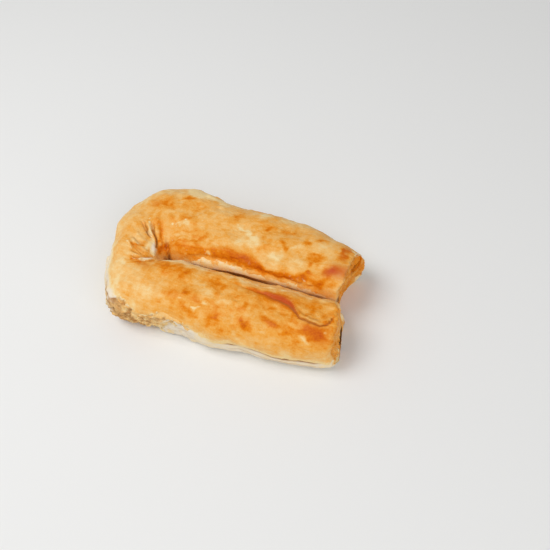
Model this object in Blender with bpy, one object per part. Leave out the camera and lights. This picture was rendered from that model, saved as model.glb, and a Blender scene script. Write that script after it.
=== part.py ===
"""Apple borek: a long filo roll folded into a tight U, with apple filling showing at its two open ends.

The two legs lie along X, open at +X, and the bend is at -X. Their inner sides press together along a
seam, and the roll is pinched and pleated in the middle of the bend. Sizes are in millimetres. The
surface is a loft of upright sections, each of which runs from the seam out to the roll's outer side.
"""

import bmesh
import bpy
import numpy as np

MM = 0.001
COLLECTION = "apple_borek"

# The roll in plan. The pinch in the middle of the bend is the drawing's zero point, and the reaches
# run from the seam or the pinch out to the roll's outer side.
FRONT_LENGTH = 121.6
REAR_LENGTH = 116.5
FRONT_REACH = (36.3, 42.1, 43.9, 43.9, 43.6)  # evenly spaced, from the open end to the bend
BEND_REACH = (47.8, 41.0, 37.9, 38.2, 46.2, 51.4, 56.7)  # evenly spaced round the bend
REAR_REACH = (58.3, 51.4, 50.8, 46.8, 35.7)  # evenly spaced, from the bend to the open end
FRONT_END = (-5.0, -0.7, -0.8)  # how far the open end stands out at the seam, the middle, the outer side
REAR_END = (-2.5, -2.7, 5.2)
FRONT_UNDERCUT = -1.0  # how far the foot of the open end stands back
REAR_UNDERCUT = 3.0
END_STRETCH = 0.4  # share of a leg that leans with its open end

# The roll in section
CREST = (30.4, 32.4, 33.4, 34.0, 34.6)  # height, from the front leg's end round to the rear leg's
WAIST = 0.42  # height of the widest place, as a share of the crest
SOLE_SINK = 0.9  # the section is cut this far above its lowest point, for a flat sole
FRONT_SHOULDER = 2.6  # squareness of the section's upper inner quarter
REAR_SHOULDER = 3.2
BEND_SHOULDER = 2.0
OUTER_SHOULDER = 2.3
UNDERSIDE = 3.6
SEAM_HALF_GAP = 0.2
PINCH_RADIUS = 1.2
PINCH_LENGTH = 9.0  # the seam opens towards the pinch over this length

# Dough wall, and the apple filling inside it. The roll closes in on the filling at its open ends.
WALL = 4.6
PINCH_WALL = 8.0
FRONT_MOUTH = (9.0, 15.5, 17.0, 4.4)  # wall at the open end: seam side, outer side, top, base
REAR_MOUTH = (24.0, 3.6, 4.2, 15.5)
MOUTH_STRETCH = 0.12  # share of a leg over which the wall thickens
FIT_GAP = 0.3
FILLING_SET_BACK = (3.5, 0.6)  # front and rear
TUNNEL_OVERRUN = 12.0
FACE_STEPS = (  # rolled layers of an end face: share of the section's size, and shift along X
    (0.94, 0.7),
    (0.85, -0.5),
    (0.74, 0.3),
    (0.4, -1.2),
)

# Relief
PLEATS = (  # creases that meet at the pinch: near end x, y, far end x, y, and depth
    (-4.0, -1.0, -23.0, 17.0, 2.0),
    (-3.5, 1.0, -16.0, 18.0, 2.0),
    (-2.0, 2.5, -9.8, 19.0, 1.4),
    (-0.8, 3.5, -3.5, 19.0, 1.1),
    (1.0, 3.0, 7.0, 14.0, 0.8),
    (-6.0, -2.5, -20.0, 1.5, 1.0),
    (-6.0, -4.5, -23.0, -5.0, 1.2),
    (-6.5, -6.5, -21.0, -10.5, 1.2),
    (-1.5, -2.0, -11.0, -13.5, 2.2),
    (-9.0, -12.0, -19.0, -15.5, 1.5),
)
PLEAT_WIDTH = 1.6
DIMPLE_DEPTH = 2.0
DIMPLE_RADIUS = 6.0
LAP_LINE = (  # where the top sheet's free edge runs over the front leg, x and y
    (48.5, -12.4),
    (64.7, -12.5),
    (80.8, -13.3),
    (90.4, -14.0),
    (96.0, -17.4),
    (101.6, -22.7),
    (107.4, -24.1),
    (113.6, -24.6),
    (119.5, -17.4),
)
LAP_RISE = 1.4
LAP_REACH = 9.0
TORN_EDGE = (  # upper edge of the torn, flaky patch on the front side, x and z
    (-32.0, 14.0),
    (-21.0, 22.0),
    (-7.0, 24.0),
    (1.3, 20.0),
    (7.0, 17.0),
    (17.0, 22.0),
    (27.0, 20.5),
    (37.0, 17.0),
    (47.0, 12.0),
)
TORN_DEPTH = 1.8
TORN_LIP = 0.9  # how far the lowest sheet stands out below the torn patch
FLAP_FROM = 1.16  # along the roll, counted as in stations()
FLAP_TO = 1.38
FLAP_HEIGHT = 21.0
FLAP_STAND = 1.3
LAYER_LINE = ((62.0, 15.4), (74.0, 15.0), (88.0, 12.6), (96.0, 10.0), (112.0, 9.2), (122.0, 9.6))  # x and z
LAYER_DEPTH = 0.8
SWELL = 0.35  # unevenness of the hand-rolled dough
RAGGEDNESS = 0.4
# Torn rims: places on them, y and z, the reach of each, and how far it stands out along X
FRONT_RIM = ((-3.0, 28.0, 6.0, -2.4), (-2.0, 5.0, 5.0, 1.2), (-10.5, 1.0, 3.6, -4.2))
REAR_RIM = ((34.5, 25.0, 7.0, -2.4), (7.0, 33.0, 5.5, 3.0), (16.0, 36.0, 8.0, 2.6))

# Mesh
LEG_STATIONS = 24
BEND_STATIONS = 38
RING_POINTS = 42
SOLE_EDGE = 1.0  # the flat sole below this height takes fewer points
SOLE_DENSITY = 0.35
CORE_STEP = 2  # the filling takes every second station
CORE_POINTS = 20


def smooth_through(values, share):
    """Smooth curve through values that are evenly spaced over share = 0..1."""
    ends = (2 * values[0] - values[1], 2 * values[-1] - values[-2])
    known = np.array((ends[0], *values, ends[1]))
    place = np.clip(share, 0, 1) * (len(values) - 1)
    k = np.minimum(place.astype(int), len(values) - 2)
    f = place - k
    a, b, c, d = known[k], known[k + 1], known[k + 2], known[k + 3]
    return b + 0.5 * f * (c - a + f * (2 * a - 5 * b + 4 * c - d + f * (3 * (b - c) + d - a)))


def ramp(value, low, high):
    """0 below low, 1 above high, and smooth between."""
    t = np.clip((value - low) / (high - low), 0, 1)
    return t * t * (3 - 2 * t)


def stations(step=1):
    """Places along the roll: 0..1 is the front leg, 1..2 the bend and 2..3 the rear leg."""
    leg = np.linspace(0, 1, LEG_STATIONS // step + 1)
    bend = np.linspace(1, 2, BEND_STATIONS // step + 1)
    return np.concatenate((leg, bend[1:], 2 + leg[1:]))


def plan(along):
    """Inner and outer end of each section in plan, and its height."""
    front, rear = along <= 1, along >= 2
    bend = ~front & ~rear
    x = np.where(front, FRONT_LENGTH * (1 - along), REAR_LENGTH * (along - 2))
    x[bend] = 0
    opening = np.exp(-((x / PINCH_LENGTH) ** 2))
    gap = SEAM_HALF_GAP + (PINCH_RADIUS - SEAM_HALF_GAP) * opening
    angle = np.where(front, -90.0, np.where(rear, 90.0, -90.0 - 180.0 * (along - 1)))
    direction = np.stack((np.cos(np.radians(angle)), np.sin(np.radians(angle))), -1)
    reach = np.where(
        front,
        smooth_through(FRONT_REACH, along),
        np.where(
            rear,
            smooth_through(REAR_REACH, along - 2),
            smooth_through((FRONT_REACH[-1], *BEND_REACH, REAR_REACH[0]), along - 1),
        ),
    )
    start = np.stack((x, 0 * x), -1)
    inner = start + direction * gap[:, None]
    outer = start + direction * reach[:, None]
    return inner, outer, smooth_through(CREST, along / 3)


def shoulder(along):
    """Squareness of each section's upper inner quarter: round in the bend, square in the legs."""
    in_bend = ramp(along, 0.75, 1.05) * (1 - ramp(along, 1.95, 2.25))
    leg = np.where(along < 1.5, FRONT_SHOULDER, REAR_SHOULDER)
    return leg + (BEND_SHOULDER - leg) * in_bend


def profile(inner_squareness, height, count):
    """Evenly spaced points of one section: share of the way outwards, and height."""
    turn = np.linspace(0, 2 * np.pi, 721)
    c, s = np.cos(turn), np.sin(turn)
    upper = np.where(c > 0, inner_squareness, OUTER_SHOULDER)
    power = 2 / np.where(s >= 0, upper, UNDERSIDE)
    waist = WAIST * height
    across = 0.5 - 0.5 * np.sign(c) * np.abs(c) ** power
    rise = np.where(s >= 0, height - waist, waist + SOLE_SINK)
    z = waist + np.sign(s) * rise * np.abs(s) ** power
    steps = np.hypot(np.diff(across) * height * 1.4, np.diff(z))
    steps = np.where(z[1:] < SOLE_EDGE, SOLE_DENSITY * steps, steps)
    length = np.concatenate(([0], np.cumsum(steps)))
    wanted = np.arange(count) / count * length[-1]
    return np.interp(wanted, length, across), np.interp(wanted, length, z)


def end_lean(along, across, up):
    """How far the leaning open ends carry a point along X, by its shares across and up the section."""
    shift = np.zeros(np.broadcast(along, across).shape)
    ends = ((1 - along, FRONT_END, FRONT_UNDERCUT), (along - 2, REAR_END, REAR_UNDERCUT))
    for share, end, undercut in ends:
        weight = np.clip((share - 1 + END_STRETCH) / END_STRETCH, 0, 1) ** 2
        seam, middle, outer = end
        rest = 1 - across
        shift += weight * (
            seam * rest * (1 - 2 * across) + middle * 4 * across * rest + outer * across * (2 * across - 1)
        )
        shift -= weight * undercut * (1 - up) ** 2
    return shift


def shell(along, count):
    """The roll's plain outer surface: points by station and place in the ring, and shares across."""
    inner, outer, crest = plan(along)
    points = np.zeros((len(along), count, 3))
    across = np.zeros((len(along), count))
    for k, squareness in enumerate(shoulder(along)):
        across[k], z = profile(squareness, crest[k], count)
        points[k, :, :2] = inner[k] + (outer[k] - inner[k]) * across[k][:, None]
        points[k, :, 2] = np.maximum(z, 0)
    points[:, :, 0] += end_lean(along[:, None], across, points[:, :, 2] / crest[:, None])
    return points, across


def outward(points):
    """Unit normals of a lofted surface."""
    lengthways = np.gradient(points, axis=0)
    around = np.roll(points, -1, 1) - np.roll(points, 1, 1)
    normal = np.cross(around, lengthways)
    normal /= np.maximum(np.linalg.norm(normal, axis=2, keepdims=True), 1e-9)
    centre = points.mean(1, keepdims=True)
    facing = np.sum(normal * (points - centre))
    return normal if facing > 0 else -normal


def near_line(x, y, line):
    """Distance to a line of points in plan, share of the way along it, and side: 1 on its left."""
    best = np.full(x.shape, 1e9)
    share = np.zeros(x.shape)
    side = np.zeros(x.shape)
    for k, ((ax, ay), (bx, by)) in enumerate(zip(line, line[1:])):
        dx, dy = bx - ax, by - ay
        t = np.clip(((x - ax) * dx + (y - ay) * dy) / (dx * dx + dy * dy), 0, 1)
        distance = np.hypot(x - ax - t * dx, y - ay - t * dy)
        closer = distance < best
        best = np.where(closer, distance, best)
        share = np.where(closer, (k + t) / (len(line) - 1), share)
        side = np.where(closer, np.sign(dx * (y - ay) - dy * (x - ax)), side)
    return best, share, side


def pleats(x, y):
    """Radial creases and a dimple where the bend is pinched."""
    depth = DIMPLE_DEPTH * np.exp(-((np.hypot(x, y) / DIMPLE_RADIUS) ** 2))
    for near_x, near_y, far_x, far_y, full in PLEATS:
        distance, share, _ = near_line(x, y, ((near_x, near_y), (far_x, far_y)))
        taper = 1 - ramp(share, 0.5, 1.0)
        depth += full * taper * np.exp(-((distance / PLEAT_WIDTH) ** 2))
    return -depth


def lap(x, y):
    """Step and groove where the top sheet's free edge lies over the front leg."""
    distance, share, side = near_line(x, y, LAP_LINE)
    taper = ramp(share, 0.0, 0.3)
    step = LAP_RISE * np.exp(-distance / LAP_REACH) * (side > 0)
    groove = 0.4 * LAP_RISE * np.exp(-((distance / 1.5) ** 2)) * (side <= 0)
    return taper * (step - groove)


def torn(x, z):
    """Set-back patch low on the front side, where the outer sheet has flaked off, and the lip below."""
    xs, zs = zip(*TORN_EDGE)
    edge = np.interp(x, xs, zs)
    within = ramp(x, xs[0], xs[1]) * (1 - ramp(x, xs[-2], xs[-1]))
    lip = TORN_LIP * (1 - ramp(z, 3.0, 7.0)) * (0.6 + 0.4 * np.sin(0.9 * x))
    return within * (lip - TORN_DEPTH * ramp(z, 4.0, 9.0) * ramp(edge - z, 0.0, 1.5))


def base_layers(x, z):
    """Groove between the lowest sheets, along the front leg's foot."""
    xs, zs = zip(*LAYER_LINE)
    line = np.interp(x, xs, zs)
    within = ramp(x, xs[0], xs[0] + 12)
    return -LAYER_DEPTH * within * np.exp(-(((z - line) / 1.5) ** 2))


def relief(points, along, across):
    """How far the dough stands out from the plain surface, in millimetres."""
    x, y, z = points[..., 0], points[..., 1], points[..., 2]
    crest = smooth_through(CREST, along / 3)[:, None]
    place = along[:, None] + 0 * x
    top = ramp(z, 0.45 * crest, 0.75 * crest)
    front_side = ramp(across, 0.6, 0.8) * (place < 1.5)
    height = SWELL * (np.sin(0.17 * x + 0.13 * y) + 0.7 * np.sin(0.31 * y - 0.09 * x + 1.0))
    height += 0.5 * SWELL * np.sin(0.39 * x + 0.35 * z)
    height += top * (pleats(x, y) + (place < 1) * (y < 0) * lap(x, y))
    height += front_side * (torn(x, z) + base_layers(x, z))
    flap_span = ramp(place, FLAP_FROM, FLAP_FROM + 0.05) * (1 - ramp(place, FLAP_TO, FLAP_TO + 0.03))
    height += FLAP_STAND * flap_span * ramp(across, 0.6, 0.8) * (1 - ramp(z, FLAP_HEIGHT, FLAP_HEIGHT + 2.5))
    clear_of_seam = ramp(across, 0.01, 0.06) * ramp(z, 0.0, 1.5)
    return height * clear_of_seam


def ragged(ring, shifts):
    """How far a torn rim stands out along X, at each of its points."""
    angle = 2 * np.pi * np.arange(len(ring)) / len(ring)
    offset = RAGGEDNESS * (0.6 * np.sin(5 * angle + 1) + 0.4 * np.sin(11 * angle + 2))
    for y, z, reach, shift in shifts:
        distance = np.hypot(ring[:, 1] - y, ring[:, 2] - z)
        offset = offset + shift * np.exp(-((distance / reach) ** 2))
    return offset


def closing_rings(ring, steps):
    """Rings that close an end. Each step is a share of the ring's size and a shift along X."""
    centre = ring.mean(0)
    rings = []
    for size, shift in steps:
        inset = centre + (ring - centre) * size
        inset[:, 0] += shift
        rings.append(inset)
    return rings


def loft(name, rings):
    """Closed mesh through rings of equal counts, with a fan over each end."""
    mesh = bmesh.new()
    rows = [[mesh.verts.new(point * MM) for point in ring] for ring in rings]
    count = len(rows[0])
    for row, following in zip(rows, rows[1:]):
        for k in range(count):
            n = (k + 1) % count
            mesh.faces.new((row[k], row[n], following[n], following[k]))
    for row, flip in ((rows[0], True), (rows[-1], False)):
        middle = sum((vert.co for vert in row), start=row[0].co * 0) / count
        hub = mesh.verts.new(middle)
        for k in range(count):
            n = (k + 1) % count
            mesh.faces.new((row[n], row[k], hub) if flip else (row[k], row[n], hub))
    bmesh.ops.recalc_face_normals(mesh, faces=mesh.faces)
    data = bpy.data.meshes.new(name)
    mesh.to_mesh(data)
    mesh.free()
    data.shade_smooth()
    data.set_sharp_from_angle(angle=np.radians(50))
    return bpy.data.objects.new(name, data)


def finish(name, colour, roughness):
    """Material of one piece."""
    material = bpy.data.materials.new(name)
    material.use_nodes = True
    shader = material.node_tree.nodes["Principled BSDF"]
    shader.inputs["Base Color"].default_value = (*colour, 1)
    shader.inputs["Roughness"].default_value = roughness
    shader.inputs["Metallic"].default_value = 0
    return material


def pastry_rings():
    """The roll's outer surface with its relief, its ragged rims and its two end faces."""
    along = stations()
    points, across = shell(along, RING_POINTS)
    points += outward(points) * relief(points, along, across)[..., None]
    points[..., 2] = np.maximum(points[..., 2], 0)
    points[0, :, 0] += ragged(points[0], FRONT_RIM)
    points[-1, :, 0] += ragged(points[-1], REAR_RIM)
    first = closing_rings(points[0], FACE_STEPS)[::-1]
    last = closing_rings(points[-1], FACE_STEPS)
    return [*first, *points, *last]


def walls(along):
    """Dough wall round the filling at each station: seam side, outer side, top and base."""
    in_bend = ramp(along, 0.8, 1.0) * (1 - ramp(along, 2.0, 2.2))
    plain = np.full(len(along), WALL)
    sides = [plain + (PINCH_WALL - WALL) * in_bend, plain, plain, plain]
    for share, mouth in ((1 - along, FRONT_MOUTH), (along - 2, REAR_MOUTH)):
        closing = ramp(share, 1 - MOUTH_STRETCH, 1)
        sides = [side + (wall - side) * closing for side, wall in zip(sides, mouth)]
    return sides


def core_rings(inset):
    """Sections of the filling, or of its tunnel, which lies a fit gap further out."""
    along = stations(CORE_STEP)
    inner, outer, crest = plan(along)
    seam_wall, outer_wall, top_wall, base_wall = (side + inset for side in walls(along))
    turn = np.arange(CORE_POINTS) / CORE_POINTS * 2 * np.pi
    across, up = 0.5 - 0.5 * np.cos(turn), np.sin(turn)
    rings = []
    for k, place in enumerate(along):
        run = outer[k] - inner[k]
        width = np.linalg.norm(run)
        start = inner[k] + run / width * seam_wall[k]
        stop = outer[k] - run / width * outer_wall[k]
        low, high = base_wall[k], crest[k] - top_wall[k]
        ring = np.zeros((CORE_POINTS, 3))
        ring[:, :2] = start + (stop - start) * across[:, None]
        ring[:, 2] = (low + high) / 2 + (high - low) / 2 * up
        share = np.linalg.norm(ring[:, :2] - inner[k], axis=1) / width
        ring[:, 0] += end_lean(place, share, ring[:, 2] / crest[k])
        rings.append(ring)
    return rings


def filling_rings():
    """The filling, set a little back from the rims, with a lumpy face at each end."""
    rings = core_rings(FIT_GAP)
    turn = np.arange(CORE_POINTS) / CORE_POINTS * 2 * np.pi
    for ring, set_back in zip((rings[0], rings[-1]), FILLING_SET_BACK):
        ring[:, 0] -= set_back + 0.5 * np.sin(3 * turn)
    face = ((0.85, 0.8), (0.55, 1.6), (0.25, 1.0))
    first = closing_rings(rings[0], face)[::-1]
    last = closing_rings(rings[-1], face)
    lumps = 0.7 * np.sin(4 * turn + 0.8)
    for ring in (first[1], last[1]):
        ring[:, 0] += lumps
    return [*first, *rings, *last]


def tunnel_rings():
    """Cutter for the tunnel that the filling lies in, longer than the roll at both ends."""
    rings = core_rings(0.0)
    overrun = np.array((TUNNEL_OVERRUN, 0, 0))
    return [rings[0] + overrun, *rings, rings[-1] + overrun]


def centred(ring_sets):
    """Shifts every ring so that the first set's box is centred on the origin in plan."""
    cloud = np.concatenate(ring_sets[0])
    middle = (cloud.min(0) + cloud.max(0)) / 2
    middle[2] = 0
    return [[ring - middle for ring in rings] for rings in ring_sets]


def build():
    for item in list(bpy.data.objects):
        bpy.data.objects.remove(item)
    parts = bpy.data.collections.new(COLLECTION)
    cutters = bpy.data.collections.new("cutters")
    for collection in (parts, cutters):
        bpy.context.scene.collection.children.link(collection)

    outside, inside, bore = centred([pastry_rings(), filling_rings(), tunnel_rings()])
    pastry = loft("pastry", outside)
    filling = loft("filling", inside)
    tunnel = loft("tunnel_cutter", bore)
    parts.objects.link(pastry)
    parts.objects.link(filling)
    cutters.objects.link(tunnel)
    tunnel.hide_render = True
    tunnel.display_type = "WIRE"

    pastry.data.materials.append(finish("baked_filo", (0.75, 0.36, 0.10), 0.45))
    filling.data.materials.append(finish("apple_filling", (0.58, 0.30, 0.06), 0.35))

    cut = pastry.modifiers.new("tunnel", "BOOLEAN")
    cut.operation = "DIFFERENCE"
    cut.solver = "EXACT"
    cut.object = tunnel


build()
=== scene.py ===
"""Apple borek: a long filo roll folded into a tight U, with apple filling at its two open ends.

The drawing's zero point is the pinch in the middle of the bend, the legs run along +X and sizes are in
millimetres. Skin.piece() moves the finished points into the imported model's frame, in metres.
"""

import math

import bmesh
import bpy
import numpy as np
from mathutils import Matrix, Vector


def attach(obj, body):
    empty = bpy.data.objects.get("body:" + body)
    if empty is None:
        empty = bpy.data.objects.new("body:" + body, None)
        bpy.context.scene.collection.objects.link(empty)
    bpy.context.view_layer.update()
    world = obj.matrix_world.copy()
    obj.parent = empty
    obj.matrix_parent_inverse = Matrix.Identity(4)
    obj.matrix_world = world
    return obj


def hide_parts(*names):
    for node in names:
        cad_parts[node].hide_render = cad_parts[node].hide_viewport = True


bl_info = {
    "name": "Apple borek",
    "version": (1, 0, 0),
    "blender": (4, 5, 0),
    "location": "3D View > Sidebar > Borek",
    "description": "Builds a baked filo roll with apple filling, and a plain stage to show it on",
    "category": "Add Mesh",
}

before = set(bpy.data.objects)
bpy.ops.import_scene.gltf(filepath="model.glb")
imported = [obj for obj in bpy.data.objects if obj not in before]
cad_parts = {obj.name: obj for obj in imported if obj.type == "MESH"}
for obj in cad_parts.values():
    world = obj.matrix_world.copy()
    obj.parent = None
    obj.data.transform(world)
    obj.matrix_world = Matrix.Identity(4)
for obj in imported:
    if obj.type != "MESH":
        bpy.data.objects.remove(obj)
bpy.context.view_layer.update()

MM = 0.001
MIDDLE = np.array((39.987, 7.016, 0.0))  # the model's origin in the drawing

# The roll in plan
FRONT_LENGTH = 121.6
REAR_LENGTH = 116.5
FRONT_REACH = (36.3, 42.1, 43.9, 43.9, 43.6)  # from the open end to the bend
BEND_REACH = (47.8, 41.0, 37.9, 38.2, 46.2, 51.4, 56.7)  # round the bend
REAR_REACH = (58.3, 51.4, 50.8, 46.8, 35.7)  # from the bend to the open end
FRONT_END = (-5.0, -0.7, -0.8)  # lean of the open end at the seam, the middle and the outer side
REAR_END = (-2.5, -2.7, 5.2)
FRONT_UNDERCUT = -1.0
REAR_UNDERCUT = 3.0
END_STRETCH = 0.4

# The roll in section
CREST = (30.4, 32.4, 33.4, 34.0, 34.6)
WAIST = 0.42
SOLE_SINK = 0.9
FRONT_SHOULDER = 2.6
REAR_SHOULDER = 3.2
BEND_SHOULDER = 2.0
OUTER_SHOULDER = 2.3
UNDERSIDE = 3.6
SEAM_HALF_GAP = 0.1
PINCH_RADIUS = 0.7
PINCH_LENGTH = 9.0

# Dough wall and filling
WALL = 4.6
PINCH_WALL = 8.0
FRONT_MOUTH = (9.0, 15.5, 17.0, 4.4)  # wall at the open end: seam side, outer side, top, base
REAR_MOUTH = (24.0, 3.6, 4.2, 15.5)
MOUTH_STRETCH = 0.12
FIT_GAP = 0.3
FILLING_SET_BACK = (3.5, 0.6)  # front and rear

# Open ends: shifts of the rim along X, as y, z, reach and shift, and how far the crust rolls over it
FRONT_RIM = ((-3, 28, 6, -2.4), (-2, 5, 5, 1.2), (-10.5, 1, 3.6, -4.2))
REAR_RIM = ((34.5, 25, 7, -2.4), (7, 33, 5.5, 3), (16, 36, 8, 2.6))
RIM_ROLL = (2.6, 1.2)
FACE_LAYER = 2.1  # distance between the edges of the rolled sheets
FRONT_LAYERS = (0.15, 0.85)  # how far they show everywhere, and how much more at the front foot
REAR_LAYERS = (0.75, 0.0)
FRONT_HOLLOW = 0.2  # how far the end face sinks in
REAR_HOLLOW = 0.5
FRONT_FACE_BAKE = 0.46
REAR_FACE_BAKE = 0.56
# Bare dough on the end faces: y, z, half-lengths, turn and strength
FRONT_BARE = (
    (-3, 13, 2.6, 9, 0, 1), (-15.5, 1.5, 1.8, 1.8, 0, 1), (-24, 8, 1, 7, 0, 0.6),
    (-27.5, 2, 4, 1.6, 0, 0.8), (-32.5, 10, 0.9, 7, 4, 0.5),
)
REAR_BARE = (
    (31, 29, 5.5, 2, -50, 1.1), (31.5, 3.5, 2.5, 3, 0, 0.9), (9, 30, 1.2, 5, 20, 0.5),
    (4, 22, 1.6, 6, 10, 0.5),
)
# Shaded hollows in them
FRONT_DARK = ((-12.5, 4.6, 2.6, 2.4, 0, 1.2), (-18.6, 1, 1.8, 4, 0, 1.8))
REAR_DARK = ((25.5, 17, 3, 1.6, -30, 0.8), (3, 17, 2, 6, 0, 1.5))

# Mesh density
LEG_ROWS = 128
END_ROWS = 9  # rows in the last millimetres before an open end
END_SPAN = 0.022
BEND_ROWS = 150
RING = 188
FACE_ROWS = 22
TUNNEL_STEP = 12
TUNNEL_FINE_STEP = 5  # near the open ends
TUNNEL_FINE = 6
SOLE_EDGE = 1.0
SOLE_DENSITY = 0.2
HIDDEN_DENSITY = 0.5
BAKE_TUNNEL = 0.05  # share of its length that the hidden tunnel takes in the bake map

# Folds and creases round the pinch: points, width, and how far they sink or stand out
CREASES = (
    (((-21, 15), (-17, 10.2), (-13.6, 7.2), (-10.6, 4.6)), 0.8, -2.2),
    (((-15, 15.8), (-12.4, 12.3), (-10.2, 9.4), (-7.4, 5.4), (-5.2, 1.8)), 0.7, -2),
    (((-10.5, 20), (-7.2, 13.8), (-4.2, 8.2), (-2.2, 3.6)), 1, -0.6),
    (((-0.6, 8.2), (0, 5.4), (0.5, 2.6)), 0.7, -1.6),
    (((3.5, 11), (2.2, 6.5), (1.2, 2.4)), 0.9, -0.5),
    (((-22, 1.6), (-17, -0.8), (-12, -2)), 1, -1.1),
    (((-20.6, -2.4), (-16.6, -5.4), (-12.4, -7), (-8.8, -7.6)), 0.8, -1.1),
    (((-18.6, -8.6), (-14.2, -9), (-9.4, -8.8)), 0.6, -0.8),
    (((-16.4, -13), (-12, -12.4), (-8.6, -11.4)), 0.5, -0.8),
    (((-10.2, -11.6), (-6.6, -9), (-3.4, -6.4)), 0.6, -0.9),
    (((-8.2, -14.8), (-4.6, -11.9), (-1.4, -8.8)), 0.7, -0.8),
    (((-18.6, 16.4), (-14.8, 11.4), (-11.8, 8.2), (-9, 4.8)), 1, 0.9),
    (((-13.4, 20), (-10, 14), (-6.4, 8.2), (-4.2, 4.6)), 1.2, 0.5),
    (((-2.8, 9.4), (-2.2, 6.9), (-1.7, 4.4), (-0.6, 2.6)), 0.9, 0.9),
    (((-9.2, 5.6), (-7.6, 2.4), (-5.8, -1.4), (-4.4, -4.8)), 1.9, 0.9),
    (((-9.2, -12.9), (-6, -10.6), (-3, -7.2)), 1, 0.9),
    (((-22.4, -3.6), (-19.6, -6.2), (-16.6, -8.4)), 0.7, 0.9),
    (((-17.6, -2.6), (-13.6, -4.8), (-9.6, -5.6)), 0.7, 0.6),
    (((-21, 4.6), (-16, 2), (-12, 0.4)), 1, 0.5),
    (((-17.2, -11.2), (-13, -10.9), (-9, -9.9)), 0.8, 0.7),
    (((-15, -14.8), (-11.2, -14), (-8, -12.8)), 0.7, 0.5),
)
DIMPLE = (2.0, 5.5)  # depth and radius
# The pinch's hole gets painted shade, darkest at this spot
PINCH_HOLE = (1.6, 1.5, 1.4)  # darkest spot of the pinch: x, y and reach

# The top sheet's free edge over the front leg, as x, y and width, and the shallow crease beside it
LAP_LINE = (
    (42, -11.6, 0.5), (52, -12, 0.9), (63, -12.7, 1.4), (74, -13.2, 2), (84, -14, 2.5),
    (91, -16, 2.3), (95.5, -19.6, 1), (100, -22.8, 0.7), (106, -24.3, 0.6), (112, -24.3, 0.6),
    (115.6, -22, 0.6), (117.4, -17.6, 0.5),
)
LAP_RISE = 1.3
LAP_REACH = 8.0
LAP_FURROW = 0.75
LAP_BUMPS = (114.5, -20.0, 5.0, 0.5)  # rough bumps at its end: x, y, reach and height
SECOND_CREASE = ((93.5, -16.4), (97, -18.6), (101.5, -21), (106, -21.9), (110, -21.6))

# Heights on the front side: where the golden crust ends, and the edge of the lowest sheets
CRUST_FOOT = (
    (-32, 25), (-17.5, 25), (-13, 26), (-9.5, 26.4), (-4, 24.8), (-1, 22.8), (1.5, 20.2), (6, 18.8),
    (11.5, 21), (16.5, 23.2), (23, 23.2), (29.5, 21.5), (34, 20.4), (40, 18.6), (53, 19.2),
    (64, 18.8), (78, 17.8), (90, 17.4), (105, 15), (122, 13.2),
)
LAYER_LINE = (
    (56, 12.6), (64, 13.6), (72, 14.2), (80, 13), (90, 10.6), (98, 9.6), (106, 10.2), (114, 9.4),
    (122, 8),
)
# Height of the smooth white sheets below the torn ones
WHITE_FOOT = (
    (6, -1), (12, 4), (17, 10.5), (23, 15.6), (30, 18), (38, 18.6), (43, 17), (48, 14.4),
    (56, 14.6),
)
TORN_FROM = -30.0
TORN_TO = 42.0
LEDGES = ((16.0, 0.7), (11.5, 0.6), (6.5, 0.5))  # torn sheets: height of the edge, and step
FOOT_NOTCH = (73.0, 12.0, 1.5)  # shallow hollow over the foot: x, half-length and depth
SEAM_HOLLOW = (46.0, 20.0, 1.1)  # the front leg's hollow beside the seam: x, half-length and depth
# Ragged sheets over the torn band: start and end x, height over the crust's foot, hang, lift,
# browning and bare dough
TORN_SHEETS = (
    (-13, 42, 0.4, 1.6, 0.05, 0.3, 0.45), (-19, 24, -4, 3.4, -0.05, 0.34, 0.6),
    (-16, 18, -8.5, 3.4, -0.1, 0.34, 0.55), (-20, 8, -13, 3, -0.1, 0.34, 0.5),
)
SHEET_ROWS = 110
SHEET_STEPS = 14
SHEET_THICKNESS = 0.38
BEND_LENGTH = 105.0  # along the torn band, for a whole bend

# Bare strip along the seam, on the rear leg's wall: x, and height of its upper edge
STRIP_TOP = (
    (8, 17), (12, 19.4), (17.5, 22.4), (24.3, 25.4), (29.5, 26.2), (37, 27), (43.2, 26.4),
    (51.8, 26.2), (58.4, 25.6), (68, 25.2), (72.9, 25.2), (77.8, 25.2), (84.2, 25), (89.9, 24.6),
    (95.5, 24.4), (100, 23.8), (107, 22.6), (114, 21),
)
STRIP_LEAN = 2.4  # how far the strip leans back at its upper edge
# The rear leg's wall is in shade below this line: x and height
SLIT = (
    (4, 12), (10, 16), (14, 20.2), (36, 20.4), (44, 21.8), (56, 22.4), (64, 22), (75, 22.2),
    (88, 21.8), (112, 20.6),
)
FLAP = (1.10, 1.39, 23.0, 1.5)  # loose outer sheet on the left: from, to, height, and how far it stands out
# The left wall's pale dough is also whitened as painted light, most near its top
PALE_WALL = (1.05, 1.38, 32.0)  # pale dough above it: from, to, and height

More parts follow.
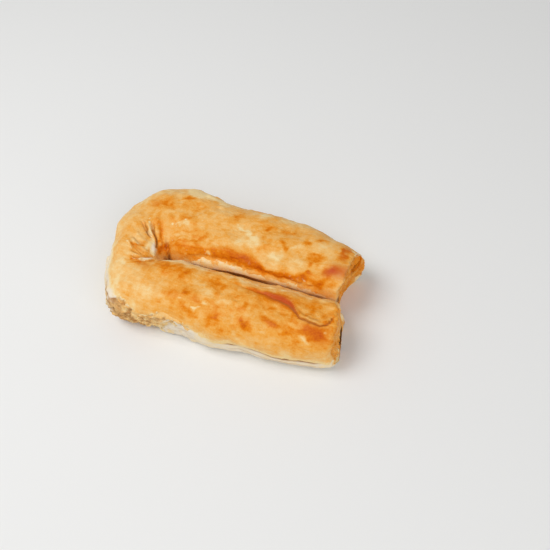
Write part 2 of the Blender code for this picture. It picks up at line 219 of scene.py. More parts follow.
# Browned places on the crust from above: x, y, half-lengths, turn in degrees, and strength
BROWNED = (
    (22, 12.6, 5, 3, -15, 0.2), (12, 5.8, 9, 3, 8, 0.06), (94, 6.5, 4, 2.4, 0, 0.14),
    (106, 4.5, 6, 2.6, 0, 0.24), (16, 3.4, 14, 1.6, 3, 0.09), (-3.4, 2.6, 2, 4, 20, 0.2),
    (-5, 8, 1.8, 4.4, 30, 0.2), (-15.5, -4.5, 5, 4, -20, 0.14), (-14, -13.5, 4, 2, -20, 0.12),
    (0.5, 40.5, 3.5, 2.6, 0, 0.3), (-19, 30, 5, 6, 0, 0.12), (-10, 33, 6, 6, 0, 0.16),
    (8, 33, 8, 6, 0, 0.1), (2, 22, 9, 6, 20, 0.08), (39, 34, 6, 5, 20, 0.16),
    (72, 32, 5.5, 2.5, 10, 0.22), (60, 31.5, 3, 1.4, 30, 0.18), (87, 26, 4.4, 2.8, 20, 0.2),
    (77, 18.5, 4.8, 2.6, -30, 0.2), (62, 14.5, 4, 3.6, 0, 0.18), (95.5, 16, 6.5, 3.4, 5, 0.3),
    (93, 6, 7, 2.6, 10, 0.22), (110.5, 27, 2.6, 8, 0, 0.3), (107, 10, 6, 4, 20, 0.24),
    (96, 30.5, 4, 2.6, 20, 0.18), (90, 40.5, 5, 1.6, 0, 0.22), (10, -12, 14, 5, -8, 0.16),
    (34, -14, 16, 4, -4, 0.1), (50, -15, 8, 4, 0, 0.14), (70, -18.5, 10, 3.4, -6, 0.16),
    (88, -22, 10, 5, 0, 0.08), (-6, -17, 7, 3.6, -20, 0.14), (22, -29.5, 7, 2.6, 0, 0.14),
    (13, -37, 6, 2, 0, 0.16), (-8, -36, 5, 3, 0, 0.12), (30.5, -27, 1.6, 1.4, 0, 0.16),
    (38.5, -29.6, 3.2, 2.2, 0, 0.13), (36, -37, 6, 2.2, 0, 0.22), (50.5, -32, 2.2, 1.6, 0, 0.12),
    (50, -38, 4, 1.8, 0, 0.22), (64, -27, 6, 4, 0, 0.14), (70, -36.5, 6.5, 2.6, 5, 0.28),
    (85, -31, 6, 2.2, -20, 0.26), (94, -35.5, 1.8, 1.2, 0, 0.18), (111, -28, 8, 4.6, 0, 0.3),
    (104, -15, 6, 5, 0, 0.18), (116.5, -19, 1.6, 3, 0, 0.3),
)
# Places that stay pale
PALE = (
    (48, 22.5, 9, 1.3, -28, 0.28), (30.6, 6.4, 1.8, 1.5, 20, 0.5), (-12.5, 8, 4.5, 1.8, -54, 0.22),
    (-9.4, -2.2, 2.4, 3, 0, 0.22), (-16, -1, 5, 4, 0, 0.17), (54, 41, 4, 4, 0, 0.26),
    (46, 12.5, 4, 3, 0, 0.16), (54, 17, 6, 4, 0, 0.18), (5, 48, 9, 4, -10, 0.42),
    (18, 46.5, 9, 3, 0, 0.24), (4, 19, 2.4, 1, 20, 0.26), (7.5, 21, 2, 1, 20, 0.22),
    (73, 11.5, 4, 3, 0, 0.22), (81.5, 20, 2, 4, -20, 0.16), (97, 24.5, 3, 3, 0, 0.12),
    (70, 44, 8, 2, 0, 0.14), (-4, -25, 14, 4.4, -10, 0.03), (-4, -38, 20, 7, 0, 0.1),
    (-20, -18, 6, 10, 0, 0.13), (114.5, 31, 3.4, 2, 0, 0.4), (10, -22, 7, 3, 0, 0.06),
    (4, -31.5, 9, 4, 0, 0.04), (42, -25, 4, 3.6, 0, 0.22), (55, -26, 7, 2.6, 0, 0.26),
    (35, -19.5, 5, 2.4, 0, 0.12), (44, -30.8, 1.3, 0.9, 0, 0.4), (29, -32, 1.1, 0.8, 0, 0.3),
    (39.5, -34, 1, 0.8, 0, 0.3), (116.5, -26.5, 1.5, 1.2, 0, 0.4), (107, -33.5, 3.4, 1.6, 0, 0.3),
    (97, -29, 4, 2, 0, 0.14), (20, -7.6, 16, 2, 0, 0.22), (70, -8.6, 40, 1.6, 0, 0.12),
    (15, 2.6, 3, 0.6, 0, 0.2),
)
# Reddish places
REDDISH = (
    (109.8, 11.4, 4.6, 4.2, 10, 0.92), (106, 9.4, 4, 2.4, 10, 0.55), (110.5, 26, 2, 6, 0, 0.55),
    (111, -28, 8, 4.4, 0, 0.5), (85, -31, 5, 1.6, -20, 0.35), (38.5, -29.6, 2.4, 1.8, 0, 0.15),
    (-6, -16, 6, 3, -20, 0.25), (-19, 31, 4, 4, 0, 0.2), (50, 7, 14, 2, -8, 0.25),
)
# The deepest browning, on the rear leg's shoulder over the seam: x, y plus height over the crest,
# strength and width
SEAM_BAND = (
    (0, -1.5, 0.04, 2.4), (8.8, -1.5, 0.06, 2.8), (16, -0.5, 0.08, 3.2), (25, 0.5, 0.16, 4),
    (32.2, 1.2, 0.28, 4.8), (38.2, 1.8, 0.36, 5.4), (45.4, 2.7, 0.4, 5.8), (50.1, 2, 0.44, 5.8),
    (54.2, 1.2, 0.48, 5.6), (58, 0.6, 0.52, 5.2), (61.8, -1, 0.52, 4.6), (66.8, -3.6, 0.5, 4),
    (72.4, -3.8, 0.44, 3.4), (79.6, -3.2, 0.4, 3.2), (87, -2.2, 0.36, 3), (93.7, -1.6, 0.32, 3),
    (100, -1.6, 0.26, 2.8), (106.3, -2.2, 0.16, 2.6),
)
# Fine orange streaks that run out from the pinch: points, width and strength
STREAKS = (
    (((2, 7.5), (9, 9), (17, 9.6), (24, 9)), 0.7, 0.1),
    (((3, 5.4), (10, 6.2), (19, 5.8), (29, 6.6)), 0.6, 0.12),
    (((3, 9.4), (8, 11.4), (15, 12)), 0.6, 0.12),
    (((0.5, 11), (6, 14), (13, 15), (19, 17.5)), 0.8, 0.12),
    (((18, 8), (23, 12), (26, 17)), 1, 0.14), (((27, 8.5), (31, 13), (30, 18)), 1, 0.12),
    (((-4, 6), (-7, 12), (-11, 18)), 1.4, 0.14), (((-9, -13), (-14, -16.4), (-18, -17)), 0.7, 0.16),
    (((-6, -14.5), (-11, -17.6), (-16, -19)), 0.7, 0.14),
    (((-9.5, -3.5), (-15, -4.4), (-21, -4.8)), 0.8, 0.2),
)
# Bare ridges at the pinch, flecks of bare dough, and small painted highlights that stand for glints on the
# crust, as in the tables above
PINCH_BARE = (
    (-6.8, -0.9, 2.2, 4.4, 28, 0.98),
    (-5.8, -10.4, 4.4, 1.3, 40, 0.8),
    (-12, 7.4, 1.8, 5, 36, 0.36),
)
FLECKS = (
    (-17, -1.5, 6, 5, 0, 0.3), (2, 18, 12, 2.2, 42, 0.35), (-9, 20, 8, 7, 0, 0.2),
    (30, 6, 8, 2.5, 0, 0.3), (56, 4.5, 12, 1.6, 0, 0.3), (88, 3.6, 12, 2, 0, 0.24),
    (26, -31, 12, 5, 0, 0.25), (-14, -12, 6, 3, 0, 0.3), (4, -16, 7, 3, 0, 0.2),
)
PAINTED_GLINTS = (
    (2.3, 16.8, 1.4, 0.5, 42, 0.42), (4.1, 18.5, 1.1, 0.5, 42, 0.4), (6.3, 20, 1.3, 0.5, 40, 0.42),
    (-1.1, 17.9, 0.8, 0.8, 0, 0.5), (17.5, 24.3, 1, 0.8, 10, 0.6), (-16.6, 16.9, 0.9, 0.8, 60, 0.6),
    (-15.4, 14.2, 0.7, 1.2, 20, 0.55), (6.7, 22.6, 0.9, 0.7, 0, 0.5), (-22, -4, 1.2, 0.7, -30, 0.6),
    (3, 8.4, 2, 0.6, 5, 0.5), (7, 5.4, 2.2, 0.5, 10, 0.45), (16, 4.4, 2, 0.5, 5, 0.45),
    (84, 3.6, 0.9, 0.5, 0, 0.34), (89, 3.2, 0.8, 0.5, 0, 0.34), (93, 2.8, 0.9, 0.5, 0, 0.34),
    (80, 4.2, 0.7, 0.5, 0, 0.32), (79, 13, 0.8, 0.7, 0, 0.4),
)
BASE_BAKE = 0.402
FRONT_LEG_BAKE = 0.072  # the front leg is baked a little more
CONTRAST = 1.52  # how strongly the browning varies
EVEN_BAKE = 0.47
DEEP_BAKE = 0.68  # browning levels off above this
DEEPEST = 0.3  # by this much at most
# Uneven fields: strength, size of the lumps and seed
BAKE_WAVES = ((0.05, 14, 64), (0.04, 6, 65), (0.05, 2.4, 66))
CRUST_WAVES = ((0.32, 11, 3), (0.2, 5.5, 4), (0.1, 2.6, 5))
CRUMB_WAVES = ((0.45, 1.7, 17), (0.35, 0.9, 37))
FOOT_WAVES = ((1.3, 4.5, 15), (0.8, 1.7, 16))
WHITE_WAVES = ((1.6, 3.4, 80), (0.8, 1.3, 85))
LAYER_WAVES = ((0.5, 4, 35),)
STRIP_WAVES = ((0.9, 3.6, 67), (0.6, 1.2, 70))
SLIT_WAVES = ((0.4, 6, 72),)
# The fourth mark is painted shade: it darkens creases, slits, layer edges, gaps and hollows where shade
# falls.
MARKS = ("bake", "cream", "red", "crease", "torn")
BAKE, CREAM, CREASE_SHADE = (MARKS.index(name) for name in ("bake", "cream", "crease"))

# Apple chunks in each end face
CHUNKS = 15
CHUNK_SIZE = (1.5, 1.9)  # smallest, and how much larger they get
CHUNK_HEIGHT = (0.45, 0.4)  # share of the size, in the same way
CHUNK_ROWS = 26
FILLING_RING = 96

# Stage
FLOOR_HALF = 6.0
KEY_LIGHT = ((-0.45, -0.18, 0.95), 0.6)  # place and size
FILL_LIGHT = ((0.85, -0.75, 0.6), 1.1)
CAMERA_STAND = (196.58, -222.01, 379.89)
CAMERA_RIGHT = (0.92949, 0.35636, -0.09515)
CAMERA_UP = (-0.23923, 0.77881, 0.57984)
SENSOR_WIDTH = 36.0


def smooth_through(values, share):
    """Smooth curve through values that are evenly spaced over share = 0..1."""
    ends = (2 * values[0] - values[1], 2 * values[-1] - values[-2])
    known = np.array((ends[0], *values, ends[1]))
    place = np.clip(share, 0, 1) * (len(values) - 1)
    k = np.minimum(place.astype(int), len(values) - 2)
    f = place - k
    a, b, c, d = known[k], known[k + 1], known[k + 2], known[k + 3]
    return b + 0.5 * f * (c - a + f * (2 * a - 5 * b + 4 * c - d + f * (3 * (b - c) + d - a)))


def ramp(value, low, high):
    """0 below low, 1 above high, and smooth between."""
    t = np.clip((value - low) / (high - low), 0, 1)
    return t * t * (3 - 2 * t)


def bell(distance, width):
    """1 at no distance, falling to nothing over about twice the width."""
    return np.exp(-((distance / width) ** 2))


def field(points, size, seed):
    """Smooth uneven field, about -1 to 1, whose lumps are as large as size."""
    lattice = np.random.default_rng(seed).uniform(-1, 1, (32, 32, 32))
    place = np.asarray(points) / size + 100.0
    cell = np.floor(place).astype(int)
    f = place - cell
    f = f * f * (3 - 2 * f)
    total = 0.0
    for corner in np.ndindex(2, 2, 2):
        weight = np.prod(np.where(corner, f, 1 - f), -1)
        i, j, k = np.moveaxis((cell + corner) % 32, -1, 0)
        total = total + weight * lattice[i, j, k]
    return 1.6 * total


def uneven(points, *waves):
    """Sum of uneven fields, each given by its strength, the size of its lumps and its seed."""
    return sum(strength * field(points, size, seed) for strength, size, seed in waves)


def wrinkles(points, size, seed):
    """Thin raised lines, 0 to 1, that wander over a surface."""
    return np.clip(1 - 3.2 * np.abs(field(points, size, seed)), 0, 1) ** 1.5


def column(table, k):
    """One column of a table."""
    return [row[k] for row in table]


def near_line(x, y, line):
    """Distance to a line of points, share of the way along it, and side: 1 on its left."""
    best = np.full(x.shape, 1e9)
    share = np.zeros(x.shape)
    side = np.zeros(x.shape)
    for k, ((ax, ay, *_), (bx, by, *_)) in enumerate(zip(line, line[1:])):
        dx, dy = bx - ax, by - ay
        t = np.clip(((x - ax) * dx + (y - ay) * dy) / (dx * dx + dy * dy), 0, 1)
        distance = np.hypot(x - ax - t * dx, y - ay - t * dy)
        closer = distance < best
        best = np.where(closer, distance, best)
        share = np.where(closer, (k + t) / (len(line) - 1), share)
        side = np.where(closer, np.sign(dx * (y - ay) - dy * (x - ax)), side)
    return best, share, side


def spots(x, y, places):
    """Sum of soft oval places on a surface."""
    total = np.zeros(x.shape)
    for cx, cy, long, short, turn, strength in places:
        c, s = math.cos(math.radians(turn)), math.sin(math.radians(turn))
        u = ((x - cx) * c + (y - cy) * s) / long
        v = ((y - cy) * c - (x - cx) * s) / short
        total += strength * np.exp(-((u * u + v * v) ** 1.4))
    return total


def height_line(x, line):
    """Height of a line of x and z points over x."""
    xs, zs = zip(*line)
    return np.interp(x, xs, zs)


def stations():
    """Places along the roll: 0..1 is the front leg, 1..2 the bend and 2..3 the rear leg."""
    end = np.linspace(0, END_SPAN, END_ROWS + 1)[:-1]
    leg = np.concatenate((end, np.linspace(END_SPAN, 1, LEG_ROWS + 1)))
    bend = np.linspace(1, 2, BEND_ROWS + 1)
    return np.concatenate((leg, bend[1:-1], 3 - leg[::-1]))


def plan(along):
    """Inner and outer end of each section in plan, and its height."""
    front, rear = along <= 1, along >= 2
    x = np.where(front, FRONT_LENGTH * (1 - along), REAR_LENGTH * (along - 2))
    x = np.where(front | rear, x, 0)
    opening = np.exp(-((x / PINCH_LENGTH) ** 2))
    gap = SEAM_HALF_GAP + (PINCH_RADIUS - SEAM_HALF_GAP) * opening
    angle = np.where(front, -90.0, np.where(rear, 90.0, -90.0 - 180.0 * (along - 1)))
    direction = np.stack((np.cos(np.radians(angle)), np.sin(np.radians(angle))), -1)
    round_bend = smooth_through((FRONT_REACH[-1], *BEND_REACH, REAR_REACH[0]), along - 1)
    rear_leg = smooth_through(REAR_REACH, along - 2)
    reach = np.where(front, smooth_through(FRONT_REACH, along), np.where(rear, rear_leg, round_bend))
    start = np.stack((x, 0 * x), -1)
    inner = start + direction * gap[:, None]
    outer = start + direction * reach[:, None]
    return inner, outer, smooth_through(CREST, along / 3)


def shoulder(along):
    """Squareness of each section's upper inner quarter: round in the bend, square in the legs."""
    in_bend = ramp(along, 0.75, 1.05) * (1 - ramp(along, 1.95, 2.25))
    leg = np.where(along < 1.5, FRONT_SHOULDER, REAR_SHOULDER)
    return leg + (BEND_SHOULDER - leg) * in_bend


def profile(inner_squareness, height):
    """Points of one section: share of the way outwards, and height. Hidden places take fewer points."""
    turn = np.linspace(0, 2 * np.pi, 1441)
    c, s = np.cos(turn), np.sin(turn)
    upper = np.where(c > 0, inner_squareness, OUTER_SHOULDER)
    power = 2 / np.where(s >= 0, upper, UNDERSIDE)
    waist = WAIST * height
    across = 0.5 - 0.5 * np.sign(c) * np.abs(c) ** power
    rise = np.where(s >= 0, height - waist, waist + SOLE_SINK)
    z = waist + np.sign(s) * rise * np.abs(s) ** power
    steps = np.hypot(np.diff(across) * height * 1.4, np.diff(z))
    hidden = (z[1:] < 0.4 * height) & (across[1:] < 0.3)
    steps = np.where(hidden, HIDDEN_DENSITY * steps, steps)
    steps = np.where(z[1:] < SOLE_EDGE, SOLE_DENSITY * steps, steps)
    length = np.concatenate(([0], np.cumsum(steps)))
    wanted = np.arange(RING) / RING * length[-1]
    return np.interp(wanted, length, across), np.interp(wanted, length, z)


def end_lean(along, across, up):
    """How far the leaning open ends carry a point along X, by its shares across and up the section."""
    shift = np.zeros(np.broadcast(along, across).shape)
    ends = ((1 - along, FRONT_END, FRONT_UNDERCUT), (along - 2, REAR_END, REAR_UNDERCUT))
    for share, end, undercut in ends:
        weight = np.clip((share - 1 + END_STRETCH) / END_STRETCH, 0, 1) ** 2
        seam, middle, outer = end
        rest = 1 - across
        shift += weight * (
            seam * rest * (1 - 2 * across) + middle * 4 * across * rest + outer * across * (2 * across - 1)
        )
        shift -= weight * undercut * (1 - up) ** 2
    return shift


def outward(points):
    """Unit normals of a lofted surface."""
    lengthways = np.gradient(points, axis=0)
    around = np.roll(points, -1, 1) - np.roll(points, 1, 1)
    normal = np.cross(around, lengthways)
    normal /= np.maximum(np.linalg.norm(normal, axis=2, keepdims=True), 1e-9)
    facing = np.sum(normal * (points - points.mean(1, keepdims=True)))
    return normal if facing > 0 else -normal


class Roll:
    """The roll's outer surface, with its relief and its colour marks, on a grid of rows and ring points.

    place says where along the roll a point lies, across is 0 at the seam and 1 on the outer side, and up is
    the share of the crest's height. top, front_top and front_side are 1 on the upper side, on the front leg's
    upper side and on the side that faces the front.
    """

    def __init__(self, roughness):
        self.along = stations()
        inner, outer, self.crest = plan(self.along)
        count = len(self.along)
        self.points = np.zeros((count, RING, 3))
        self.across = np.zeros((count, RING))
        for k, squareness in enumerate(shoulder(self.along)):
            self.across[k], z = profile(squareness, self.crest[k])
            self.points[k, :, :2] = inner[k] + (outer[k] - inner[k]) * self.across[k][:, None]
            self.points[k, :, 2] = np.maximum(z, 0)
        self.up = self.points[..., 2] / self.crest[:, None]
        self.points[..., 0] += end_lean(self.along[:, None], self.across, self.up)
        self.plain = self.points.copy()
        self.x, self.y, self.z = np.moveaxis(self.plain, -1, 0)
        self.place = self.along[:, None] + 0 * self.across
        self.top = ramp(self.up, 0.45, 0.75)
        self.front_top = self.top * (self.place < 1) * (self.y < 0)
        self.front_side = ramp(self.across, 0.62, 0.8) * (1 - ramp(self.place, 1.45, 1.6))
        self.find_edges()
        self.points += outward(self.points) * self.relief(roughness)[..., None]
        self.points[..., 2] = np.maximum(self.points[..., 2], 0)
        self.trim_rims()
        self.normal = outward(self.points)
        self.marks = self.colour_marks()

    def find_edges(self):
        """Finds the heights of the ragged edges over every x, the torn band and its crumbs."""
        p, x = self.plain, self.x
        self.foot = height_line(x, CRUST_FOOT) + uneven(p, *FOOT_WAVES)
        self.white = height_line(x, WHITE_FOOT) + uneven(p, *WHITE_WAVES)
        self.layer = height_line(x, LAYER_LINE) + uneven(p, *LAYER_WAVES)
        self.strip_edge = height_line(x, STRIP_TOP) + uneven(p, *STRIP_WAVES)
        self.slit_edge = height_line(x, SLIT) + uneven(p, *SLIT_WAVES)
        self.ledges = [
            edge + uneven(p, (2.4, 6, 20 + k), (1, 1.9, 30 + k)) for k, (edge, _) in enumerate(LEDGES)
        ]
        self.torn_band = ramp(x, TORN_FROM, TORN_FROM + 8) * (1 - ramp(x, TORN_TO - 12, TORN_TO))
        self.crumbs = uneven(p, *CRUMB_WAVES) + 0.4 * wrinkles(p / (2.4, 2.4, 1), 2.6, 18)

    def relief(self, roughness):
        """How far the dough stands out from the plain surface."""
        height = self.crust_relief(roughness) + self.pinch_relief() + self.lap_relief()
        height += self.side_relief() + self.seam_relief() + self.flap_relief()
        clear_of_seam = ramp(self.across, 0.01, 0.06) * ramp(self.z, 0.0, 1.5)
        return height * clear_of_seam

    def crust_relief(self, roughness):
        """Waves, wrinkles and blisters of the crust."""
        p, x, y, z = self.plain, self.x, self.y, self.z
        waves = 0.35 * (np.sin(0.17 * x + 0.13 * y) + 0.7 * np.sin(0.31 * y - 0.09 * x + 1.0))
        waves += 0.17 * np.sin(0.39 * x + 0.35 * z)
        blisters = np.clip(field(p, 3.6, 8) - 0.55, 0, 1) * ramp(field(p, 16, 9), -0.1, 0.5)
        rough = (0.22 * wrinkles(p / (3.4, 1.2, 1.2), 4.0, 6) + 0.9 * blisters) * self.top
        rough += uneven(p, *CRUST_WAVES) + 0.16 * wrinkles(p / (1.2, 1.0, 1.0), 5.0, 7)
        return waves + roughness * rough

    def pinch_relief(self):
        """The dimple of the pinch, with the folds and creases that run out from it."""
        p = self.plain
        wx, wy = self.x + uneven(p, (0.8, 5, 1)), self.y + uneven(p, (0.8, 5, 2))
        depth, radius = DIMPLE
        pinch = -depth * bell(np.hypot(self.x, self.y), radius)
        for line, width, rise in CREASES:
            distance, share, _ = near_line(wx, wy, line)
            ends = ramp(share, 0.0, 0.25 if rise < 0 else 0.15)
            pinch += rise * ends * np.exp(-((distance / width) ** 1.3))
        return self.top * pinch

    def lap_relief(self):
        """The top sheet's free edge with the furrow along it, and the crease beside it."""
        p, x, y = self.plain, self.x, self.y
        distance, share, side = near_line(x + uneven(p, (0.3, 4, 10)), y + uneven(p, (0.4, 3, 11)), LAP_LINE)
        width = smooth_through(column(LAP_LINE, 2), share)
        lip = LAP_RISE * np.exp(-distance / LAP_REACH) * (side > 0) * ramp(distance, 0, 0.5)
        furrow = LAP_FURROW * bell(distance, width + 0.2) * np.where(side > 0, 0.5, 1)
        height = ramp(share, 0.0, 0.35) * (lip - furrow)
        distance, share, _ = near_line(x, y, SECOND_CREASE)
        height -= 0.5 * bell(distance, 0.7) * ramp(share, 0, 0.2)
        at_x, at_y, reach, rise = LAP_BUMPS
        height += rise * bell(np.hypot(x - at_x, y - at_y), reach) * field(p, 1.9, 12)
        return self.front_top * height

    def side_relief(self):
        """Torn sheets, the edges of the lowest layers and the bulging foot, on the front side."""
        p, x, z = self.plain, self.x, self.z
        torn = self.crumbs - 0.5 * ramp(self.foot - z, 0.0, 0.8)
        for ledge, step in zip(self.ledges, column(LEDGES, 1)):
            torn -= step * ramp(ledge - z, 0.0, 0.7)
        torn *= 0.3 + 0.7 * ramp(z - self.white, -1.0, 0.5)
        bulge = (1.2 + 1.1 * field(p, 5.0, 19)) * (1 - ramp(z, 2.0, 6.5))
        bulge *= ramp(x, -22, -10) * (1 - ramp(x, 38, 50))
        middle, reach, depth = FOOT_NOTCH
        bulge -= depth * bell(x - middle, reach) * ramp(20 - z, 0, 9)
        above = z - self.layer
        layers = 0.25 * ramp(above, 0.2, 0.8) * np.exp(-np.maximum(above, 0) / 5) - 0.7 * bell(above, 0.8)
        layers += 0.3 * bell(z - 0.55 * self.layer + 0.5 * field(p, 6, 38), 0.9)
        line_start = LAYER_LINE[0][0]
        height = self.torn_band * torn * ramp(23 - z, 0, 3) + bulge
        return self.front_side * (height + layers * ramp(x, line_start, line_start + 14))

    def seam_relief(self):
        """The bare strip on the rear leg's wall, and the front leg's hollow beside the seam."""
        p, z = self.plain, self.z
        above = z - self.strip_edge
        shreds = uneven(p, (0.35, 1.7, 13)) + 0.5 * wrinkles(p / (3, 1, 1), 3, 14)
        lean = np.clip((z - self.slit_edge) / np.maximum(self.strip_edge - self.slit_edge, 1), 0, 1)
        strip = 0.5 * ramp(above, -0.3, 0.3) + shreds * ramp(1 - above, 0, 1)
        strip -= STRIP_LEAN * lean * (1 - ramp(above, 0, 5))
        strip *= (self.place > 2) * ramp(0.22 - self.across, 0, 0.08) * ramp(z, 12, 16)
        middle, reach, depth = SEAM_HOLLOW
        hollow = depth * bell(self.x - middle, reach) * (1 - ramp(self.across, 0.06, 0.16))
        return strip - (self.place < 1) * hollow * ramp(z, 15, 20)

    def flap_relief(self):
        """The loose outer sheet that stands off the left wall."""
        p, place = self.plain, self.place
        start, stop, edge, stand = FLAP
        torn_off = place - stop - uneven(p, (0.012, 4, 89), (0.008, 1.5, 90))
        flap = ramp(place, start, start + 0.08) * (1 - ramp(torn_off, -0.012, 0))
        flap *= ramp(edge + 2.6 * ramp(place, 1.34, 1.37) - self.z + uneven(p, (0.5, 5, 36)), -0.4, 0.4)
        return stand * flap * ramp(self.across, 0.6, 0.8) * (0.3 + 0.7 * ramp(place, 1.30, 1.37))

    def trim_rims(self):
        """Rolls the crust over the rims of the two open ends, and tears them a little."""
        ends = ((1, FRONT_LENGTH, FRONT_RIM, 40), (-1, REAR_LENGTH, REAR_RIM, 50))
        for (way, length, shifts, seed), radius in zip(ends, RIM_ROLL):
            near = np.arange(END_ROWS + 6) if way > 0 else -1 - np.arange(END_ROWS + 6)
            rim = self.points[near[0]].copy()
            y, z = rim[:, 1], rim[:, 2]
            shift = 0.30 * field(rim * (0, 1, 1), 3.0, seed) + 0.25 * field(rim * (0, 1, 1), 1.1, seed + 1)
            for at_y, at_z, reach, move in shifts:
                shift = shift + move * bell(np.hypot(y - at_y, z - at_z), reach)
            for row in near:
                inwards = length * (self.along[row] if way > 0 else 3 - self.along[row])
                ring = self.points[row]
                centre = ring.mean(0)
                away = ring - centre
                away[:, 0] = 0
                size = np.maximum(np.linalg.norm(away, axis=1, keepdims=True), 1)
                gap = max(radius - inwards, 0)
                inset = radius - math.sqrt(radius * radius - gap * gap)
                rolled = inset * ramp(ring[:, 2], 1.5, 7.0)
                ring -= away / size * rolled[:, None]
                ring[:, 0] += shift * (1 - ramp(inwards, 0, 7.0))

    def colour_marks(self):
        """Browning, bare dough, redness, shaded creases and tears at every point, each about 0 to 1."""
        p = self.plain
        wx = self.x + uneven(p, (1.5, 6, 60), (1.2, 2.4, 61))
        wy = self.y + uneven(p, (1.5, 6, 62), (0.9, 2.4, 63))
        marks = {name: np.zeros(self.x.shape) for name in MARKS}
        self.mark_baking(marks, wx, wy)
        self.mark_pinch(marks, wx, wy)
        self.mark_lap(marks)
        self.mark_front_side(marks)
        self.mark_seam(marks)
        self.mark_pale_walls(marks)
        bake = EVEN_BAKE + CONTRAST * (marks["bake"] - EVEN_BAKE)
        deep = np.maximum(bake - DEEP_BAKE, 0)
        marks["bake"] = np.minimum(bake, DEEP_BAKE) + DEEPEST * (1 - np.exp(-deep / DEEPEST))
        return np.stack([np.clip(marks[name], 0, 2) for name in MARKS], -1)

    def mark_baking(self, marks, wx, wy):
        """Browned, pale and reddish places, the dark band above the seam and the streaks by the pinch."""
        p, x, y, z, place = self.plain, self.x, self.y, self.z, self.place
        bake = BASE_BAKE + FRONT_LEG_BAKE * (place < 1) + uneven(p, *BAKE_WAVES)
        browned = spots(wx, wy, BROWNED) * (0.85 + uneven(p, (0.4, 2.6, 81)))
        bake += self.top * (browned - spots(wx, wy, PALE))

        bank = y + z - self.crest[:, None] + uneven(p, (0.8, 5, 76))
        distance, share, _ = near_line(x, bank, SEAM_BAND)
        band = bell(distance, smooth_through(column(SEAM_BAND, 3), share))
        band *= smooth_through(column(SEAM_BAND, 2), share) * (1 + 0.25 * field(p / (3.5, 1, 1), 2.6, 77))
        bake += band * (place > 1.9) * (self.across < 0.5) * ramp(z, 18, 24)

        sx, sy = x + uneven(p, (0.5, 3, 78)), y + uneven(p, (0.5, 3, 79))
        for line, width, strength in STREAKS:
            distance, share, _ = near_line(sx, sy, line)
            ends = ramp(share, 0, 0.1) * ramp(1 - share, 0, 0.2)
            bake += self.top * strength * bell(distance, width) * ends

        bake -= 0.16 * ramp(self.across, 0.55, 1.0) * ramp(1 - self.up, 0.15, 0.6)
        round_bend = ramp(place, 1.15, 1.4) * (1 - ramp(place, 1.85, 2.05))
        bake -= 0.13 * round_bend * ramp(self.across, 0.6, 0.9)
        marks["bake"] += bake
        marks["red"] += self.top * spots(0.6 * x + 0.4 * wx, 0.6 * y + 0.4 * wy, REDDISH)

    def mark_pinch(self, marks, wx, wy):
        """Painted shade in the creases round the pinch and in its hole, bare ridges lightened further as
        painted highlight, small painted glints, and flecks of bare dough.
        """
        x, y, top = self.x, self.y, self.top
        crease, cream = np.zeros(x.shape), np.zeros(x.shape)
        for line, width, rise in CREASES:
            distance, share, _ = near_line(wx * 0.4 + x * 0.6, wy * 0.4 + y * 0.6, line)
            ends = top * ramp(share, 0.0, 0.35)
            if rise < 0:
                # painted shade along the sunken creases, with a little browning beside them
                crease += min(1, rise * rise / 3.6) * ends * bell(distance, 0.8 * width)
                marks["bake"] += 0.08 * ends * bell(distance, 1.6 * width)
            else:
                # pale dough on the raised folds, lightened further as painted highlight
                cream += min(1, 0.5 * rise) * ends * bell(distance, 0.9 * width)
        # bare dough on the pleats, and small spots of painted highlight as glints
        cream += top * spots(x, y, PINCH_BARE + PAINTED_GLINTS)
        cream *= 1 - 0.8 * bell(np.hypot(x, y - 1), 3.4)
        at_x, at_y, reach = PINCH_HOLE
        marks["cream"] += cream + top * spots(wx, wy, FLECKS)
        marks["crease"] += np.clip(crease, 0, 1) * (np.hypot(x, y) < 30)
        # painted shade in the pinch's hole
        marks["crease"] += 1.5 * bell(np.hypot(x - at_x, y - at_y), reach)
        marks["bake"] += 0.2 * top * bell(np.hypot(x + 1.6, y - 2.0), 2.6)

    def mark_lap(self, marks):
        """The red-brown band in the lap's furrow, between a line of painted shade and a line of painted
        highlight.
        """
        p, x, y = self.plain, self.x, self.y
        distance, share, side = near_line(x + uneven(p, (0.3, 4, 82)), y + uneven(p, (0.3, 4, 83)), LAP_LINE)
        width = smooth_through(column(LAP_LINE, 2), share)
        furrow = bell(distance + 0.3 * (side > 0) * distance, width) * ramp(share, 0.0, 0.3)
        # a painted highlight on the lip's lit side, and painted shade on its other side
        highlight_line = bell(distance * side - 0.5 * width, 0.45) * ramp(share, 0.3, 0.5)
        shaded_line = bell(distance * side + 0.6 * width, 0.5) * ramp(share, 0.2, 0.45)
        redness = 1.3 * ramp(share, 0.1, 0.4) * (1 - 0.5 * ramp(share, 0.5, 0.62))
        marks["red"] += self.front_top * (redness * furrow - 0.5 * highlight_line)
        marks["bake"] += self.front_top * (0.35 * furrow - 0.25 * highlight_line)
        distance, share, _ = near_line(x, y, SECOND_CREASE)
        second = 0.5 * bell(distance, 0.6) * ramp(share, 0, 0.2)
        marks["crease"] += self.front_top * (1.1 * shaded_line + second)

    def mark_front_side(self, marks):
        """Bare dough, tears and shaded edges on the front side."""
        p, x, z, within = self.plain, self.x, self.z, self.torn_band
        below = self.foot - z
        neat = ramp(x, 42, 58)
        in_white = ramp(self.white - z, -0.8, 0.8) * ramp(x, 4, 12)
        patchy = 1 + uneven(p, (0.22, 6, 94), (0.16, 2.0, 95))
        cream = (1 - neat) * (0.55 * ramp(below, -0.6, 1.2) + 0.60 * in_white * patchy)
        cream += within * 0.9 * bell(below + 0.2, 0.8) * ramp(field(p, 1.5, 84), -0.3, 0.4)
        cream += neat * 0.68 * ramp(self.layer + 5 - z, -3.0, 3.5)
        cream += neat * 0.48 * patchy * ramp(self.layer - z, -0.3, 0.4)

